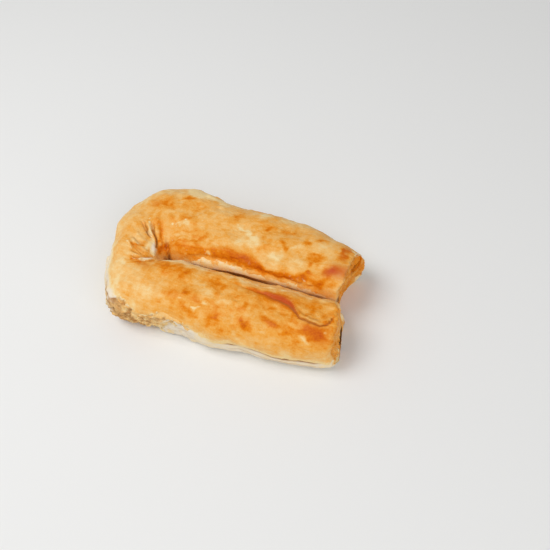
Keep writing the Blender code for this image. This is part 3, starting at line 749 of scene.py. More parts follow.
        brown = within * (1 - ramp(x, 2, 26)) * ramp(below, 0, 1)
        torn = np.clip(brown * (0.75 + 0.5 * field(p, 3.4, 68)), 0, 1)
        torn = np.maximum(torn, within * ramp(below, 0, 1.5) * (0.55 + 0.35 * field(p, 2.8, 69)))
        pale_crumbs = within * ramp(below, 0, 1) * ramp(field(p, 2.4, 91), -0.1, 0.4)
        pale_crumbs *= 0.12 + 0.88 * ramp(x, -12, 0)
        torn *= (1 - 0.8 * in_white) * (1 - 0.8 * pale_crumbs)
        cream += 0.7 * pale_crumbs

        # painted shade under the crust's foot, between crumbs and under each torn ledge
        crease = 0.5 * bell(below - 0.6, 0.6)
        crease += 0.30 * ramp(below, 0, 1.5) * ramp(-self.crumbs, 0, 0.5) * (1 - 0.7 * ramp(x, 8, 22))
        for ledge, step in zip(self.ledges, column(LEDGES, 1)):
            crease += 0.5 * step * bell(z - ledge + 0.6, 0.7)
        # painted shade along the edges of the lowest layers
        along_line = ramp(x, 56, 64) * (1 - ramp(x, 110, 118))
        layers = 1.5 * bell(z - self.layer, 0.8) + 0.5 * bell(z - 0.62 * self.layer, 0.45)
        marks["cream"] += self.front_side * cream * (1 - 0.5 * brown) * (1 - 0.85 * ramp(-16 - x, 0, 9))
        marks["torn"] += self.front_side * torn
        marks["crease"] += self.front_side * (within * crease + along_line * layers)

    def mark_seam(self, marks):
        """The bare strip and the painted shade of the slit on the rear leg's wall, and the front leg's pale
        edge beside them, lightened further as painted highlight.
        """
        p, x, z = self.plain, self.x, self.z
        rear, by_seam = self.place > 2, 0.2 - self.across
        marks["bake"] += 0.08 * rear * ramp(by_seam, 0, 0.06) * ramp(z, 8, 16) * (1 - ramp(x, 20, 44))
        marks["bake"] -= 0.12 * rear * ramp(by_seam, 0, 0.08) * ramp(x, 78, 90) * ramp(24 - z, 0, 3)
        strip = rear * ramp(self.strip_edge - z, -0.3, 0.5) * ramp(0.22 - self.across, 0, 0.04)
        marks["cream"] += strip * (0.80 + 0.30 * field(p, 1.8, 71) - 0.10 * ramp(x, 60, 72))
        # painted shade on the wall below the slit line
        shade = rear * ramp(by_seam, 0, 0.04) * ramp(self.slit_edge - z, -0.3, 0.5)
        shade *= 1.1 + 0.4 * bell(x - 51, 11) - 0.3 * ramp(x, 64, 76)
        marks["crease"] += shade * (1 - ramp(x, 107, 112))
        # pale dough along the front leg's inner edge, brightened further as a painted highlight
        pale_edge_and_highlight = self.front_top * ramp(self.y + 8.6 + uneven(p, (1.1, 4, 73)), 0, 1.6) * ramp(x, 0, 4)
        marks["cream"] += pale_edge_and_highlight * (0.80 - 0.74 * ramp(x, 28, 42))
        marks["bake"] -= 0.12 * pale_edge_and_highlight * ramp(x, 60, 72)

    def mark_pale_walls(self, marks):
        """Pale dough on the rear leg's outer wall, along the sole and on the left wall, where it is also
        painted light.
        """
        p, z, place = self.plain, self.z, self.place
        rear_side = ramp(self.across, 0.7, 0.95) * (place > 1.55)
        patchy = 0.40 + uneven(p, (0.3, 7, 86), (0.2, 2.6, 87))
        marks["cream"] += patchy * rear_side * ramp(20 - z, 0, 12) + 0.3 * ramp(4 - z, 0, 3)
        start, stop, height = PALE_WALL
        fading = place + uneven(p, (0.06, 8, 88), (0.03, 2.4, 92))
        wall = ramp(place, start, start + 0.08) * (1 - ramp(fading, stop - 0.04, stop + 0.22))
        wall *= ramp(self.across, 0.5, 0.6) * ramp(height + uneven(p, (1.6, 5, 74)) - z, -2.5, 5.0)
        # pale dough, whitened further towards the top of the wall as painted light
        patchy = 0.72 + 0.52 * bell(z - 26, 7) + uneven(p, (0.22, 6, 93), (0.16, 2.2, 75))
        marks["cream"] += wall * patchy

    def rows_at(self, along, grid):
        """A grid's rows at any places along the roll."""
        row = np.interp(along, self.along, np.arange(len(self.along)))
        low = np.minimum(row.astype(int), len(self.along) - 2)
        f = (row - low)[:, None, None]
        return grid[low] * (1 - f) + grid[low + 1] * f

    def at(self, along, turn):
        """Points, normals and marks on the surface. Places before 0 or after 3 lie beyond the rims."""
        found = []
        for grid in (self.points, self.normal, self.marks):
            rows = self.rows_at(np.clip(along, 0, 3), grid)
            step = (turn % 1.0) * RING
            low = step.astype(int) % RING
            f = (step - step.astype(int))[..., None]
            pick = np.arange(len(along))[:, None]
            found.append(rows[pick, low] * (1 - f) + rows[pick, (low + 1) % RING] * f)
        over = np.where(along < 0, -along * FRONT_LENGTH, np.maximum(along - 3, 0) * REAR_LENGTH)
        found[0][..., 0] += over[:, None]
        found[1] /= np.linalg.norm(found[1], axis=-1, keepdims=True)
        return found

    def flank(self, along, heights):
        """Ring places of given heights on the roll's outer side."""
        rows = self.rows_at(np.clip(along, 0, 3), self.points)
        across = self.rows_at(np.clip(along, 0, 3), self.across[..., None])[..., 0]
        turn = np.arange(RING) / RING
        result = np.zeros(heights.shape)
        for k, row in enumerate(rows):
            side = (across[k] > 0.5) & (turn > 0.2) & (turn < 0.95)
            z = np.minimum.accumulate(row[side, 2])
            result[k] = np.interp(-heights[k], -z - 1e-6 * np.arange(z.size)[::-1], turn[side])
        return result


class Skin:
    """Points, faces, colour marks and bake map of one piece while it is being made."""

    def __init__(self):
        self.points = []
        self.marks = []
        self.maps = []
        self.faces = []
        self.count = 0

    def add_grid(self, points, marks, place=(0.0, 0.0, 1.0, 1.0), closed=False, lengths=None):
        """Adds rings of points. closed joins the last ring to the first, or else both ends get a fan."""
        rows, ring = points.shape[:2]
        first = self.count
        steps = np.linalg.norm(np.diff(points, axis=0), axis=2).mean(1) if lengths is None else lengths
        v = np.concatenate(([0], np.cumsum(steps)))
        left, low, width, height = place
        v = low + height * v / (v[-1] + (steps.mean() if closed else 0))
        u = left + width * np.arange(ring + 1) / ring
        index = first + np.arange(rows * ring).reshape(rows, ring)
        for k in range(rows if closed else rows - 1):
            n = (k + 1) % rows
            top = v[n] if n else low + height
            a, b = index[k], index[n]
            after_a, after_b = np.roll(a, -1), np.roll(b, -1)
            self.faces.extend(np.stack((a, after_a, after_b, b), -1).tolist())
            corners = np.zeros((ring, 4, 2))
            corners[:, (0, 3), 0] = u[:-1, None]
            corners[:, (1, 2), 0] = u[1:, None]
            corners[:, :2, 1] = v[k]
            corners[:, 2:, 1] = top
            self.maps.append(corners.reshape(-1, 2))
        self.points.append(points.reshape(-1, 3))
        self.marks.append(np.broadcast_to(marks, (rows, ring, len(MARKS))).reshape(-1, len(MARKS)))
        self.count += rows * ring
        if not closed:
            for row, k in ((index[0], 0), (index[-1], rows - 1)):
                self.add_fan(row, points[k], np.broadcast_to(marks, (rows, ring, len(MARKS)))[k], u, v[k])

    def add_fan(self, row, ring_points, ring_marks, u, v):
        """Closes a ring of points with a fan of triangles."""
        hub = self.count
        self.points.append(ring_points.mean(0)[None])
        self.marks.append(ring_marks.mean(0)[None])
        self.count += 1
        after = np.roll(row, -1)
        flip = v > 0
        for k in range(len(row)):
            corners = (row[k], after[k], hub) if flip else (after[k], row[k], hub)
            self.faces.append([int(c) for c in corners])
            self.maps.append(np.array(((u[k], v), (u[k + 1], v), (u[k], v))))

    def piece(self, name, material):
        """The finished mesh object, in the model's frame."""
        mesh = bpy.data.meshes.new(name)
        points = (np.concatenate(self.points) - MIDDLE) * MM
        mesh.from_pydata(points.tolist(), [], self.faces)
        layer = mesh.uv_layers.new(name="OFBake")
        layer.data.foreach_set("uv", np.concatenate(self.maps).astype(np.float32).ravel())
        values = np.concatenate(self.marks)
        for k, mark in enumerate(MARKS):
            attribute = mesh.attributes.new(mark, "FLOAT", "POINT")
            attribute.data.foreach_set("value", values[:, k].astype(np.float32))
        work = bmesh.new()
        work.from_mesh(mesh)
        bmesh.ops.recalc_face_normals(work, faces=work.faces)
        work.to_mesh(mesh)
        work.free()
        mesh.shade_smooth()
        mesh.materials.append(material)
        piece = bpy.data.objects.new(name, mesh)
        bpy.context.scene.collection.objects.link(piece)
        return piece


class Wire:
    """A number on a shader socket. Sums on it add Math nodes."""

    def __init__(self, shading, socket):
        self.shading = shading
        self.socket = socket

    def sum(self, operation, first, second):
        """The outcome of one Math node."""
        return self.shading.node("ShaderNodeMath", {"operation": operation}, {0: first, 1: second})

    def __add__(self, other):
        return self.sum("ADD", self, other)

    def __radd__(self, other):
        return self.sum("ADD", other, self)

    def __sub__(self, other):
        return self.sum("SUBTRACT", self, other)

    def __rsub__(self, other):
        return self.sum("SUBTRACT", other, self)

    def __mul__(self, other):
        return self.sum("MULTIPLY", self, other)

    def __rmul__(self, other):
        return self.sum("MULTIPLY", other, self)

    def held(self, low=0.0, high=1.0):
        """The number, kept between two others."""
        return self.sum("MINIMUM", self.sum("MAXIMUM", self, low), high)

    def over(self, low, high):
        """0 below low, 1 above high, and smooth between."""
        settings = {"interpolation_type": "SMOOTHSTEP"}
        return self.shading.node("ShaderNodeMapRange", settings, {0: self, 1: low, 2: high})


class Shading:
    """The nodes of one material."""

    def __init__(self, name):
        self.material = bpy.data.materials.new(name)
        self.material.use_nodes = True
        self.nodes = self.material.node_tree.nodes
        self.links = self.material.node_tree.links
        self.shader = self.nodes["Principled BSDF"]

    def node(self, kind, settings=None, sockets=None, output=0):
        """Adds a node, sets it and its sockets, and gives one of its outputs."""
        node = self.nodes.new(kind)
        for name, value in (settings or {}).items():
            if name == "stops":
                elements = node.color_ramp.elements
                while len(elements) < len(value):
                    elements.new(1.0)
                for element, (position, shade) in zip(elements, value):
                    element.position = position
                    element.color = (*shade, 1)
            else:
                setattr(node, name, value)
        for key, value in (sockets or {}).items():
            self.feed(node.inputs[key], value)
        return Wire(self, node.outputs[output])

    def feed(self, socket, value):
        """Links a wire to a socket, or sets the socket's value."""
        if isinstance(value, Wire):
            self.links.new(value.socket, socket)
        elif socket.type == "RGBA":
            socket.default_value = (*value, 1)
        else:
            socket.default_value = value

    def mark(self, name):
        """One of the piece's own marks."""
        return self.node("ShaderNodeAttribute", {"attribute_name": name}, output="Fac")

    def noise(self, place, scale, detail):
        """Uneven number, about 0.5, whose lumps are the smaller the larger the scale is."""
        sockets = {"Vector": place, "Scale": scale, "Detail": detail, "Roughness": 0.55}
        return self.node("ShaderNodeTexNoise", {"noise_dimensions": "3D"}, sockets)

    def mix(self, share, first, second):
        """Colour between two others."""
        settings = {"data_type": "RGBA"}
        return self.node("ShaderNodeMix", settings, {0: share, 6: first, 7: second}, output=2)

    def ramp(self, share, stops):
        """Colour from a row of stops, each a position and a colour."""
        return self.node("ShaderNodeValToRGB", {"stops": stops}, {0: share})

    def finish(self, **sockets):
        """Feeds the shader's own sockets."""
        for name, value in sockets.items():
            self.feed(self.shader.inputs[name.replace("_", " ")], value)
        return self.material


def crust_material(settings):
    """Baked filo: golden to brown with bare cream dough, red-brown painted shade in creases and gaps, and a
    satin sheen.
    """
    s = Shading("baked_filo_crust")
    place = s.node("ShaderNodeTexCoord", output="Object")
    broad = s.noise(place, 95, 3)
    middling = s.noise(place, 320, 3)
    fine = s.noise(place, 950, 2)
    drawn_out = s.node("ShaderNodeVectorMath", {"operation": "MULTIPLY"}, {0: place, 1: (0.35, 1, 1)})
    wrinkled = s.noise(drawn_out, 700, 3)
    bake = s.mark("bake") + (broad - 0.5) * 0.22 + (middling - 0.5) * 0.20 + (fine - 0.5) * 0.36
    bake = bake + (wrinkled - 0.5) * 0.36
    colour = s.ramp(
        bake.held(),
        (
            (0.0, settings.dough[:]),
            (0.24, settings.pale_gold[:]),
            (0.48, settings.gold[:]),
            (0.70, settings.amber[:]),
            (0.88, settings.brown[:]),
            (1.0, settings.dark_brown[:]),
        ),
    )
    cream = (s.mark("cream") + (middling - 0.5) * 0.5 + (fine - 0.5) * 0.9).over(0.3, 0.78)
    whitest = (s.mark("cream") * 2.0 - 1.6 + (fine - 0.5) * 1.2).held()
    bare = s.mix(whitest, settings.dough[:], settings.raw_dough[:])
    colour = s.mix(cream, colour, bare)
    torn = (s.mark("torn") + (middling - 0.5) * 0.6).over(0.25, 0.9)
    # the torn sheets' own colours, with painted shade for the gaps between them at the dark end
    shreds = s.ramp(
        s.noise(place, 420, 3),
        ((0.32, settings.torn_gap_shade[:]), (0.52, settings.torn[:]), (0.86, settings.dough[:])),
    )
    colour = s.mix(torn * 0.85, colour, shreds)
    colour = s.mix((s.mark("red") * 0.8).held(), colour, settings.red[:])
    # Painted shade: the crease colour, and beyond 1 the darker gap colour.
    colour = s.mix((s.mark("crease") * 0.8).held(), colour, settings.crease[:])
    colour = s.mix((s.mark("crease") - 1.0).held(0.0, 0.9), colour, settings.gap[:])
    roughness = (0.50 - bake * 0.14 + cream * 0.18 + torn * 0.2 + (middling - 0.5) * 0.16).held(0.25, 0.9)
    relief = middling * 0.5 + fine * 0.25 + wrinkled * 0.4
    normal = s.node("ShaderNodeBump", sockets={"Strength": 0.55, "Distance": 0.0006, "Height": relief})
    return s.finish(
        Base_Color=colour,
        Roughness=roughness,
        Normal=normal,
        Specular_IOR_Level=0.07,
        Coat_Weight=0.02,
        Coat_Roughness=0.25,
    )


def filling_material(settings):
    """Cooked apple: amber to brown chunks, darkened by painted shade where marked, with a moist sheen."""
    s = Shading("cooked_apple")
    place = s.node("ShaderNodeTexCoord", output="Object")
    broad = s.noise(place, 160, 2)
    fine = s.noise(place, 700, 3)
    # painted shade darkens the apple towards the depth colour
    tone = broad * 0.8 + fine * 0.35 - s.mark("crease") * 0.3
    colour = s.ramp(
        tone.held(),
        (
            (0.04, settings.depth[:]),
            (0.22, settings.syrup[:]),
            (0.5, settings.apple[:]),
            (0.8, settings.light_apple[:]),
        ),
    )
    normal = s.node("ShaderNodeBump", sockets={"Strength": 0.5, "Distance": 0.0005, "Height": fine})
    return s.finish(
        Base_Color=colour,
        Roughness=0.4,
        Normal=normal,
        Specular_IOR_Level=0.06,
        Coat_Weight=0.02,
        Coat_Roughness=0.15,
    )


def walls(along):
    """Dough wall round the filling at each station: seam side, outer side, top and base."""
    in_bend = ramp(along, 0.8, 1.0) * (1 - ramp(along, 2.0, 2.2))
    plain = np.full(len(along), WALL)
    sides = [plain + (PINCH_WALL - WALL) * in_bend, plain, plain, plain]
    for share, mouth in ((1 - along, FRONT_MOUTH), (along - 2, REAR_MOUTH)):
        closing = ramp(share, 1 - MOUTH_STRETCH, 1)
        sides = [side + (wall - side) * closing for side, wall in zip(sides, mouth)]
    return sides


def core(along, turn, inset):
    """Rings of the filling's tunnel, made smaller by inset. turn has one row of angles for each ring."""
    inner, outer, crest = plan(along)
    seam_wall, outer_wall, top_wall, base_wall = (side + inset for side in walls(along))
    run = outer - inner
    width = np.linalg.norm(run, axis=1)
    run /= width[:, None]
    start = inner + run * seam_wall[:, None]
    stop = outer - run * outer_wall[:, None]
    across = (0.5 - 0.5 * np.cos(turn))[..., None]
    rings = np.zeros((*turn.shape, 3))
    rings[..., :2] = start[:, None] + (stop - start)[:, None] * across
    low, high = base_wall[:, None], (crest - top_wall)[:, None]
    rings[..., 2] = (low + high) / 2 + (high - low) / 2 * np.sin(turn)
    share = np.linalg.norm(rings[..., :2] - inner[:, None], axis=-1) / width[:, None]
    rings[..., 0] += end_lean(along[:, None], share, rings[..., 2] / crest[:, None])
    return rings


def end_face(rim, mouth, rim_marks, look, seed):
    """Rings from a rim in to the mouth, with the edges of the rolled sheets standing out unevenly.

    look: how far the layers show everywhere and how much more at the front foot, the places with bare
    dough, the places of painted shade, the hollow's depth and the browning.
    """
    (everywhere, at_foot), bare, dark, hollow, browning = look
    share = np.linspace(0, 1, FACE_ROWS + 2)[1:-1, None]
    rings = rim + (mouth - rim) * share[..., None]
    y, z = rings[..., 1], rings[..., 2]
    layered = everywhere + at_foot * ramp(-y, 15, 23) * ramp(26 - z, 0, 8)
    upright = np.stack((0 * y, y, 0.4 * z), -1)
    place = rings * (0, 1, 1)
    inwards = share * np.linalg.norm(mouth - rim, axis=-1)
    layer = inwards / FACE_LAYER + uneven(place, (0.7, 8, seed), (0.35, 2.6, seed + 1))
    edge = 1 - np.abs(2 * (layer % 1.0) - 1) ** 1.6
    rough = uneven(upright, (0.36, 1.5, seed + 2)) + uneven(place, (0.3, 0.9, seed + 3))
    out = layered * (0.8 * edge + rough) + (1 - layered) * uneven(place, (0.3, 4, seed + 4))
    rings[..., 0] += (out - hollow * np.sin(np.pi * share)) * ramp(share, 0, 0.12)
    marks = np.zeros((*out.shape, len(MARKS)))
    marks[..., BAKE] = browning + uneven(place, (0.1, 4, seed + 5)) + 0.16 * layered * (1 - edge)
    marks[..., BAKE] += 0.15 * ramp(share, 0.85, 1.0)
    marks[..., CREAM] = 0.18 * layered * ramp(edge + rough, 0.75, 1.4) + spots(y, z, bare)
    # painted shade between the edges of the rolled sheets, and in the dark places
    marks[..., CREASE_SHADE] = 0.3 * layered * (1 - edge) ** 3 + spots(y, z, dark)
    blend = ramp(share, 0, 0.15)[..., None]
    return rings, rim_marks * (1 - blend) + np.clip(marks, 0, 2) * blend


def pastry_skin(roll):
    """The whole dough wall: outside, both end faces and the tunnel, as one closed surface."""
    turn = np.arctan2(2 * roll.up - 1, 1 - 2 * roll.across)
    rows = np.arange(len(roll.along))
    near = TUNNEL_FINE * TUNNEL_FINE_STEP
    ends = rows[:near:TUNNEL_FINE_STEP], rows[-near::TUNNEL_FINE_STEP], rows[-1:]
    keep = np.unique(np.concatenate((*ends, rows[near:-near:TUNNEL_STEP])))
    tunnel = core(roll.along[keep], turn[keep], 0.0)
    tunnel_marks = np.zeros((*tunnel.shape[:2], len(MARKS)))
    tunnel_marks[..., BAKE] = 0.8
    # painted shade in the front half of the tunnel, so that the front mouth looks dark inside
    tunnel_marks[..., CREASE_SHADE] = 1.8 * ramp(1.5 - roll.along[keep], 0, 0.1)[:, None]
    for rim_rows, bare, dark in ((range(3), FRONT_BARE, FRONT_DARK), (range(-3, 0), REAR_BARE, REAR_DARK)):
        for row in rim_rows:
            _, y, z = roll.points[row].T
            roll.marks[row, :, CREAM] += spots(y, z, bare)
            # painted shade in the hollows at the rims
            roll.marks[row, :, CREASE_SHADE] += spots(y, z, dark)
    front_look = (FRONT_LAYERS, FRONT_BARE, FRONT_DARK, FRONT_HOLLOW, FRONT_FACE_BAKE)
    rear_look = (REAR_LAYERS, REAR_BARE, REAR_DARK, REAR_HOLLOW, REAR_FACE_BAKE)
    front, front_marks = end_face(roll.points[0], tunnel[0], roll.marks[0], front_look, 70)
    rear, rear_marks = end_face(roll.points[-1], tunnel[-1], roll.marks[-1], rear_look, 80)
    rings = np.concatenate((roll.points, rear, tunnel[::-1], front[::-1]))
    marks = np.concatenate((roll.marks, rear_marks, tunnel_marks[::-1], front_marks[::-1]))
    lengths = np.linalg.norm(np.diff(rings, axis=0), axis=2).mean(1)
    inside = len(roll.points) + len(rear)
    lengths[inside : inside + len(tunnel)] *= BAKE_TUNNEL
    skin = Skin()
    skin.add_grid(rings, marks, closed=True, lengths=lengths)
    return skin


def sheet_rings(roll, along, upper, lower, lifts):
    """Rings of a thin sheet on the roll's outer side, from upper to lower, with the lift at each of them."""
    share = np.linspace(0, 1, SHEET_STEPS)
    heights = upper[:, None] + (lower - upper)[:, None] * share
    points, normals, marks = roll.at(along, roll.flank(along, heights))
    rise = lifts[0][:, None] + (lifts[1] - lifts[0])[:, None] * share
    outside = points + normals * (rise + SHEET_THICKNESS)[..., None]
    inside = points + normals * rise[..., None]
    rings = np.concatenate((outside, inside[:, ::-1]), 1)
    rings[..., 2] = np.maximum(rings[..., 2], 0)
    return rings, np.concatenate((marks, marks[:, ::-1]), 1)


def torn_sheets(roll):
    """Ragged sheets of thin dough that hang over the torn band under the crust's foot."""
    skin = Skin()
    for k, (start, stop, over, hang, lift, brown, bare) in enumerate(TORN_SHEETS):
        x = np.linspace(stop, start, SHEET_ROWS)
        along = 1 - x / np.where(x >= 0, FRONT_LENGTH, BEND_LENGTH)
        spine = np.stack((x, 0 * x, 0 * x + 7 * k), -1)
        upper = height_line(x, CRUST_FOOT) + over + uneven(spine, (1, 6, 91 + k))
        ragged = hang + uneven(spine, (1.5, 4, 95 + k), (1, 1.4, 99 + k))
        half = (stop - start) / 2
        fade = ramp(np.abs(x - start - half), half - 9, half)
        lower = np.maximum(upper - np.clip(ragged * (1 - fade), 0.3, 9), 0.6)
        loose = 0.45 + uneven(spine, (0.35, 3.5, 103 + k))
        lifts = (lift - 0.55 - 0.4 * fade, lift + loose - 1.1 * fade)
        rings, marks = sheet_rings(roll, along, upper, lower, lifts)
        marks[..., BAKE] = np.maximum(marks[..., BAKE] * 0.4, brown)
        marks[..., CREAM] = bare
        # The sheets keep a quarter of the painted shade that lies under them on the roll.
        marks[..., CREASE_SHADE] *= 0.25
        skin.add_grid(rings, marks, (0.02 + 0.24 * k, 0.02, 0.22, 0.22))
    return skin


def chunky_face(ring, pick):
    """Rings from a ring of the filling in to its middle, with apple chunks, and the chunks' heights."""
    middle = ring.mean(0)
    share = np.linspace(1, 0.04, CHUNK_ROWS)[1:, None, None]
    face = middle + (ring - middle) * share
    chunks = np.zeros(face.shape[:2])
    low, high = ring[:, 1:].min(0), ring[:, 1:].max(0)
    for _ in range(CHUNKS):
        seat = low + (high - low) * pick.random(2)
        size = CHUNK_SIZE[0] + CHUNK_SIZE[1] * pick.random()
        height = CHUNK_HEIGHT[0] + CHUNK_HEIGHT[1] * pick.random()
        distance = np.linalg.norm(face[..., 1:] - seat, axis=-1) / size
        dome = size * height * np.sqrt(np.clip(1 - distance**2, 0, 1)) - 0.6 * pick.random()
        chunks = np.maximum(chunks, dome)
    chunks += uneven(face, (0.2, 1.2, 121))
    face[..., 0] += (chunks - 1.2) * ramp(1 - share[..., 0], 0.0, 0.12)
    return face, chunks


def filling_skin(seed):
    """The filling, set back from the rims, with soft apple chunks in its two end faces."""
    pick = np.random.default_rng(seed)
    start, stop = FILLING_SET_BACK[0] / FRONT_LENGTH, 3 - FILLING_SET_BACK[1] / REAR_LENGTH
    parts = (np.linspace(start, 0.1, 12), np.linspace(0.14, 2.86, 90), np.linspace(2.9, stop, 14))
    along = np.concatenate(parts)
    turn = np.tile(2 * np.pi * np.arange(FILLING_RING) / FILLING_RING, (len(along), 1))
    rings = core(along, turn, FIT_GAP - 0.6 * ramp(along, 2.96, 3.0))
    direction = rings - rings.mean(1, keepdims=True)
    direction /= np.linalg.norm(direction, axis=-1, keepdims=True)
    rings += direction * np.minimum(uneven(rings, (0.35, 4.5, 120)) - 0.35, 0)[..., None]
    marks = np.zeros((*rings.shape[:2], len(MARKS)))
    # painted shade over the front end of the filling, deep in the front mouth
    marks[..., CREASE_SHADE] = 2.0 * ramp(0.08 - along, 0, 0.04)[:, None]
    ends = []
    for ring, shade in ((rings[0], 0.7), (rings[-1], 0.0)):
        face, chunks = chunky_face(ring, pick)
        face_marks = np.zeros((*chunks.shape, len(MARKS)))
        # painted shade between the chunks, and over the whole front face
        face_marks[..., CREASE_SHADE] = 0.8 * (1 - ramp(chunks, 0.1, 1.4)) + shade
        ends.append((face, face_marks))
    (front, front_marks), (rear, rear_marks) = ends
    skin = Skin()
    skin.add_grid(
        np.concatenate((front[::-1], rings, rear)),
        np.concatenate((front_marks[::-1], marks, rear_marks)),
    )
    return skin


def hand_over(piece, slot, *nodes):
    """Lets a finished piece ride on the model's body in the place of its nodes."""
    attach(piece, "root")
    if nodes:
        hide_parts(*nodes)


def colour_setting(name, description, default):
    """A colour that the user may change."""
    return bpy.props.FloatVectorProperty(
        name=name, description=description, subtype="COLOR", default=default, min=0, max=1
    )


class BorekCrust(bpy.types.PropertyGroup):
    """Colours and unevenness of the baked dough."""

    dough: colour_setting("Dough", "Dough that stayed pale", (0.88, 0.655, 0.32))
    raw_dough: colour_setting("Raw dough", "Whitest dough", (0.84, 0.735, 0.575))
    pale_gold: colour_setting("Pale gold", "Lightly baked crust", (0.86, 0.505, 0.17))
    gold: colour_setting("Gold", "Evenly baked crust", (0.83, 0.372, 0.062))
    amber: colour_setting("Amber", "Well baked crust", (0.76, 0.225, 0.005))
    brown: colour_setting("Brown", "Darkest spots", (0.64, 0.145, 0.002))
    dark_brown: colour_setting("Dark brown", "Burnt edges", (0.50, 0.088, 0.002))
    red: colour_setting("Red brown", "Lap and dry places", (0.56, 0.085, 0.014))
    # Painted shade at the bottom of creases, slits and layer edges
    crease: colour_setting("Crease", "Bottom of a crease", (0.37, 0.135, 0.024))
    # Painted shade in the deepest gaps and hollows
    gap: colour_setting("Gap", "Deepest gaps", (0.10, 0.034, 0.006))
    torn: colour_setting("Torn dough", "Torn inner sheets", (0.545, 0.262, 0.080))
    # Painted shade in the gaps between torn sheets
    torn_gap_shade: colour_setting("Torn shade", "Gaps in torn sheets", (0.27, 0.11, 0.025))
    roughness: bpy.props.FloatProperty(
        name="Unevenness", description="How blistered and wrinkled the crust is", default=1.0, min=0, max=2
    )


class BorekFilling(bpy.types.PropertyGroup):
    """Colours of the cooked apple, and its chunks."""

    apple: colour_setting("Apple", "Cooked apple", (0.76, 0.24, 0.006))
    light_apple: colour_setting("Light apple", "Lightest chunks", (0.74, 0.26, 0.012))
    syrup: colour_setting("Syrup", "Gaps between chunks", (0.30, 0.08, 0.004))
    depth: colour_setting("Depth", "Apple in deep shade", (0.035, 0.009, 0.002))
    seed: bpy.props.IntProperty(name="Seed", description="Varies the chunks", default=11, min=0)


class BorekStage(bpy.types.PropertyGroup):
    """Floor, light and camera."""

    floor: colour_setting("Floor", "Colour of the floor", (0.82, 0.82, 0.81))
    key_light: bpy.props.FloatProperty(
        name="Key light", description="Power of the main light", unit="POWER", default=6.1, min=0
    )
    fill_light: bpy.props.FloatProperty(
        name="Fill light", description="Power of the front light", unit="POWER", default=5.95, min=0
    )
    sky: bpy.props.FloatProperty(name="Sky", description="Strength of the even light", default=0.40, min=0)
    lens: bpy.props.FloatProperty(
        name="Lens", description="Focal length of the camera", unit="CAMERA", default=47.457, min=10, max=200
    )


class BOREK_OT_pastry(bpy.types.Operator):
    """Builds the rolled dough with its pleats, lap, open ends and crust"""

    bl_idname = "borek.pastry"
    bl_label = "Pastry"

    def execute(self, context):
        settings = context.scene.borek_crust
        material = crust_material(settings)
        roll = Roll(settings.roughness)
        hand_over(pastry_skin(roll).piece("pastry_roll", material), "baked_filo", "pastry")
        hand_over(torn_sheets(roll).piece("torn_sheets", material), "baked_filo")
        return {"FINISHED"}


class BOREK_OT_filling(bpy.types.Operator):
    """Builds the apple filling that shows in the two open ends"""

    bl_idname = "borek.filling"
    bl_label = "Apple filling"

    def execute(self, context):
        settings = context.scene.borek_filling
        piece = filling_skin(settings.seed).piece("apple_pieces", filling_material(settings))
        hand_over(piece, "apple_filling", "filling")
        return {"FINISHED"}


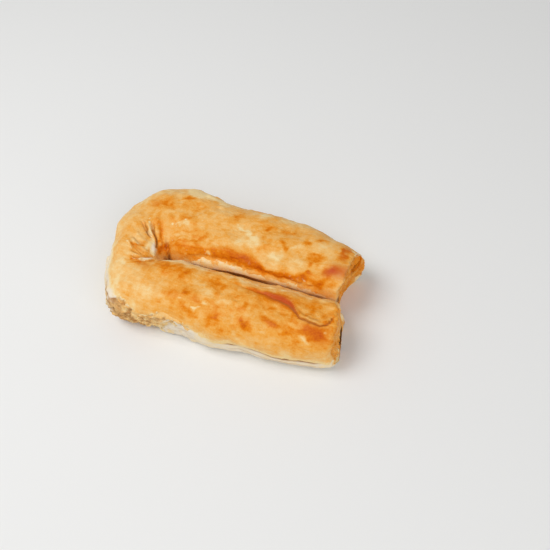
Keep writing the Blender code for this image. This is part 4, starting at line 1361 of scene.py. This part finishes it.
class BOREK_OT_stage(bpy.types.Operator):
    """Builds a plain pale floor, soft light and the camera"""

    bl_idname = "borek.stage"
    bl_label = "Stage"

    def execute(self, context):
        settings = context.scene.borek_stage
        scene = context.scene
        mesh = bpy.data.meshes.new("floor")
        corners = [(FLOOR_HALF * x, FLOOR_HALF * y, 0) for x, y in ((-1, -1), (1, -1), (1, 1), (-1, 1))]
        mesh.from_pydata(corners, [], [(0, 1, 2, 3)])
        floor = bpy.data.objects.new("floor", mesh)
        scene.collection.objects.link(floor)
        surface = Shading("pale_floor")
        mesh.materials.append(surface.finish(Base_Color=settings.floor[:], Roughness=0.7))

        self.add_light("key", *KEY_LIGHT, settings.key_light)
        self.add_light("fill", *FILL_LIGHT, settings.fill_light)

        world = bpy.data.worlds.new("studio")
        world.use_nodes = True
        sky = world.node_tree.nodes["Background"]
        sky.inputs["Color"].default_value = (1, 1, 1, 1)
        sky.inputs["Strength"].default_value = settings.sky
        scene.world = world
        scene.view_settings.view_transform = "Standard"

        camera = bpy.data.objects.new("camera", bpy.data.cameras.new("camera"))
        camera.data.lens = settings.lens
        camera.data.sensor_width = SENSOR_WIDTH
        right, up = Vector(CAMERA_RIGHT), Vector(CAMERA_UP)
        turned = Matrix((right, up, right.cross(up))).transposed().to_4x4()
        stand = (Vector(CAMERA_STAND) - Vector(MIDDLE)) * MM
        camera.matrix_world = Matrix.Translation(stand) @ turned
        scene.collection.objects.link(camera)
        scene.camera = camera
        return {"FINISHED"}

    def add_light(self, name, stand, size, power):
        """Adds a square soft light that faces the borek."""
        light = bpy.data.lights.new(name, "AREA")
        light.shape = "SQUARE"
        light.size = size
        light.energy = power
        lamp = bpy.data.objects.new(name, light)
        lamp.location = stand
        lamp.rotation_euler = Vector(stand).to_track_quat("Z", "Y").to_euler()
        bpy.context.scene.collection.objects.link(lamp)


class BOREK_PT_panel(bpy.types.Panel):
    """Lists the borek's pieces and settings"""

    bl_label = "Apple borek"
    bl_idname = "BOREK_PT_panel"
    bl_space_type = "VIEW_3D"
    bl_region_type = "UI"
    bl_category = "Borek"

    def draw(self, context):
        scene = context.scene
        for operator, settings in STEPS:
            box = self.layout.box()
            group = getattr(scene, settings)
            for name in group.__annotations__:
                box.prop(group, name)
            box.operator(operator)


STEPS = (("borek.pastry", "borek_crust"), ("borek.filling", "borek_filling"), ("borek.stage", "borek_stage"))
GROUPS = {"borek_crust": BorekCrust, "borek_filling": BorekFilling, "borek_stage": BorekStage}
CLASSES = (*GROUPS.values(), BOREK_OT_pastry, BOREK_OT_filling, BOREK_OT_stage, BOREK_PT_panel)


def register():
    for item in CLASSES:
        bpy.utils.register_class(item)
    for name, group in GROUPS.items():
        setattr(bpy.types.Scene, name, bpy.props.PointerProperty(type=group))


def unregister():
    for name in GROUPS:
        delattr(bpy.types.Scene, name)
    for item in reversed(CLASSES):
        bpy.utils.unregister_class(item)


def main():
    register()
    bpy.ops.borek.pastry()
    bpy.ops.borek.filling()
    bpy.ops.borek.stage()


if __name__ == "__main__":
    main()
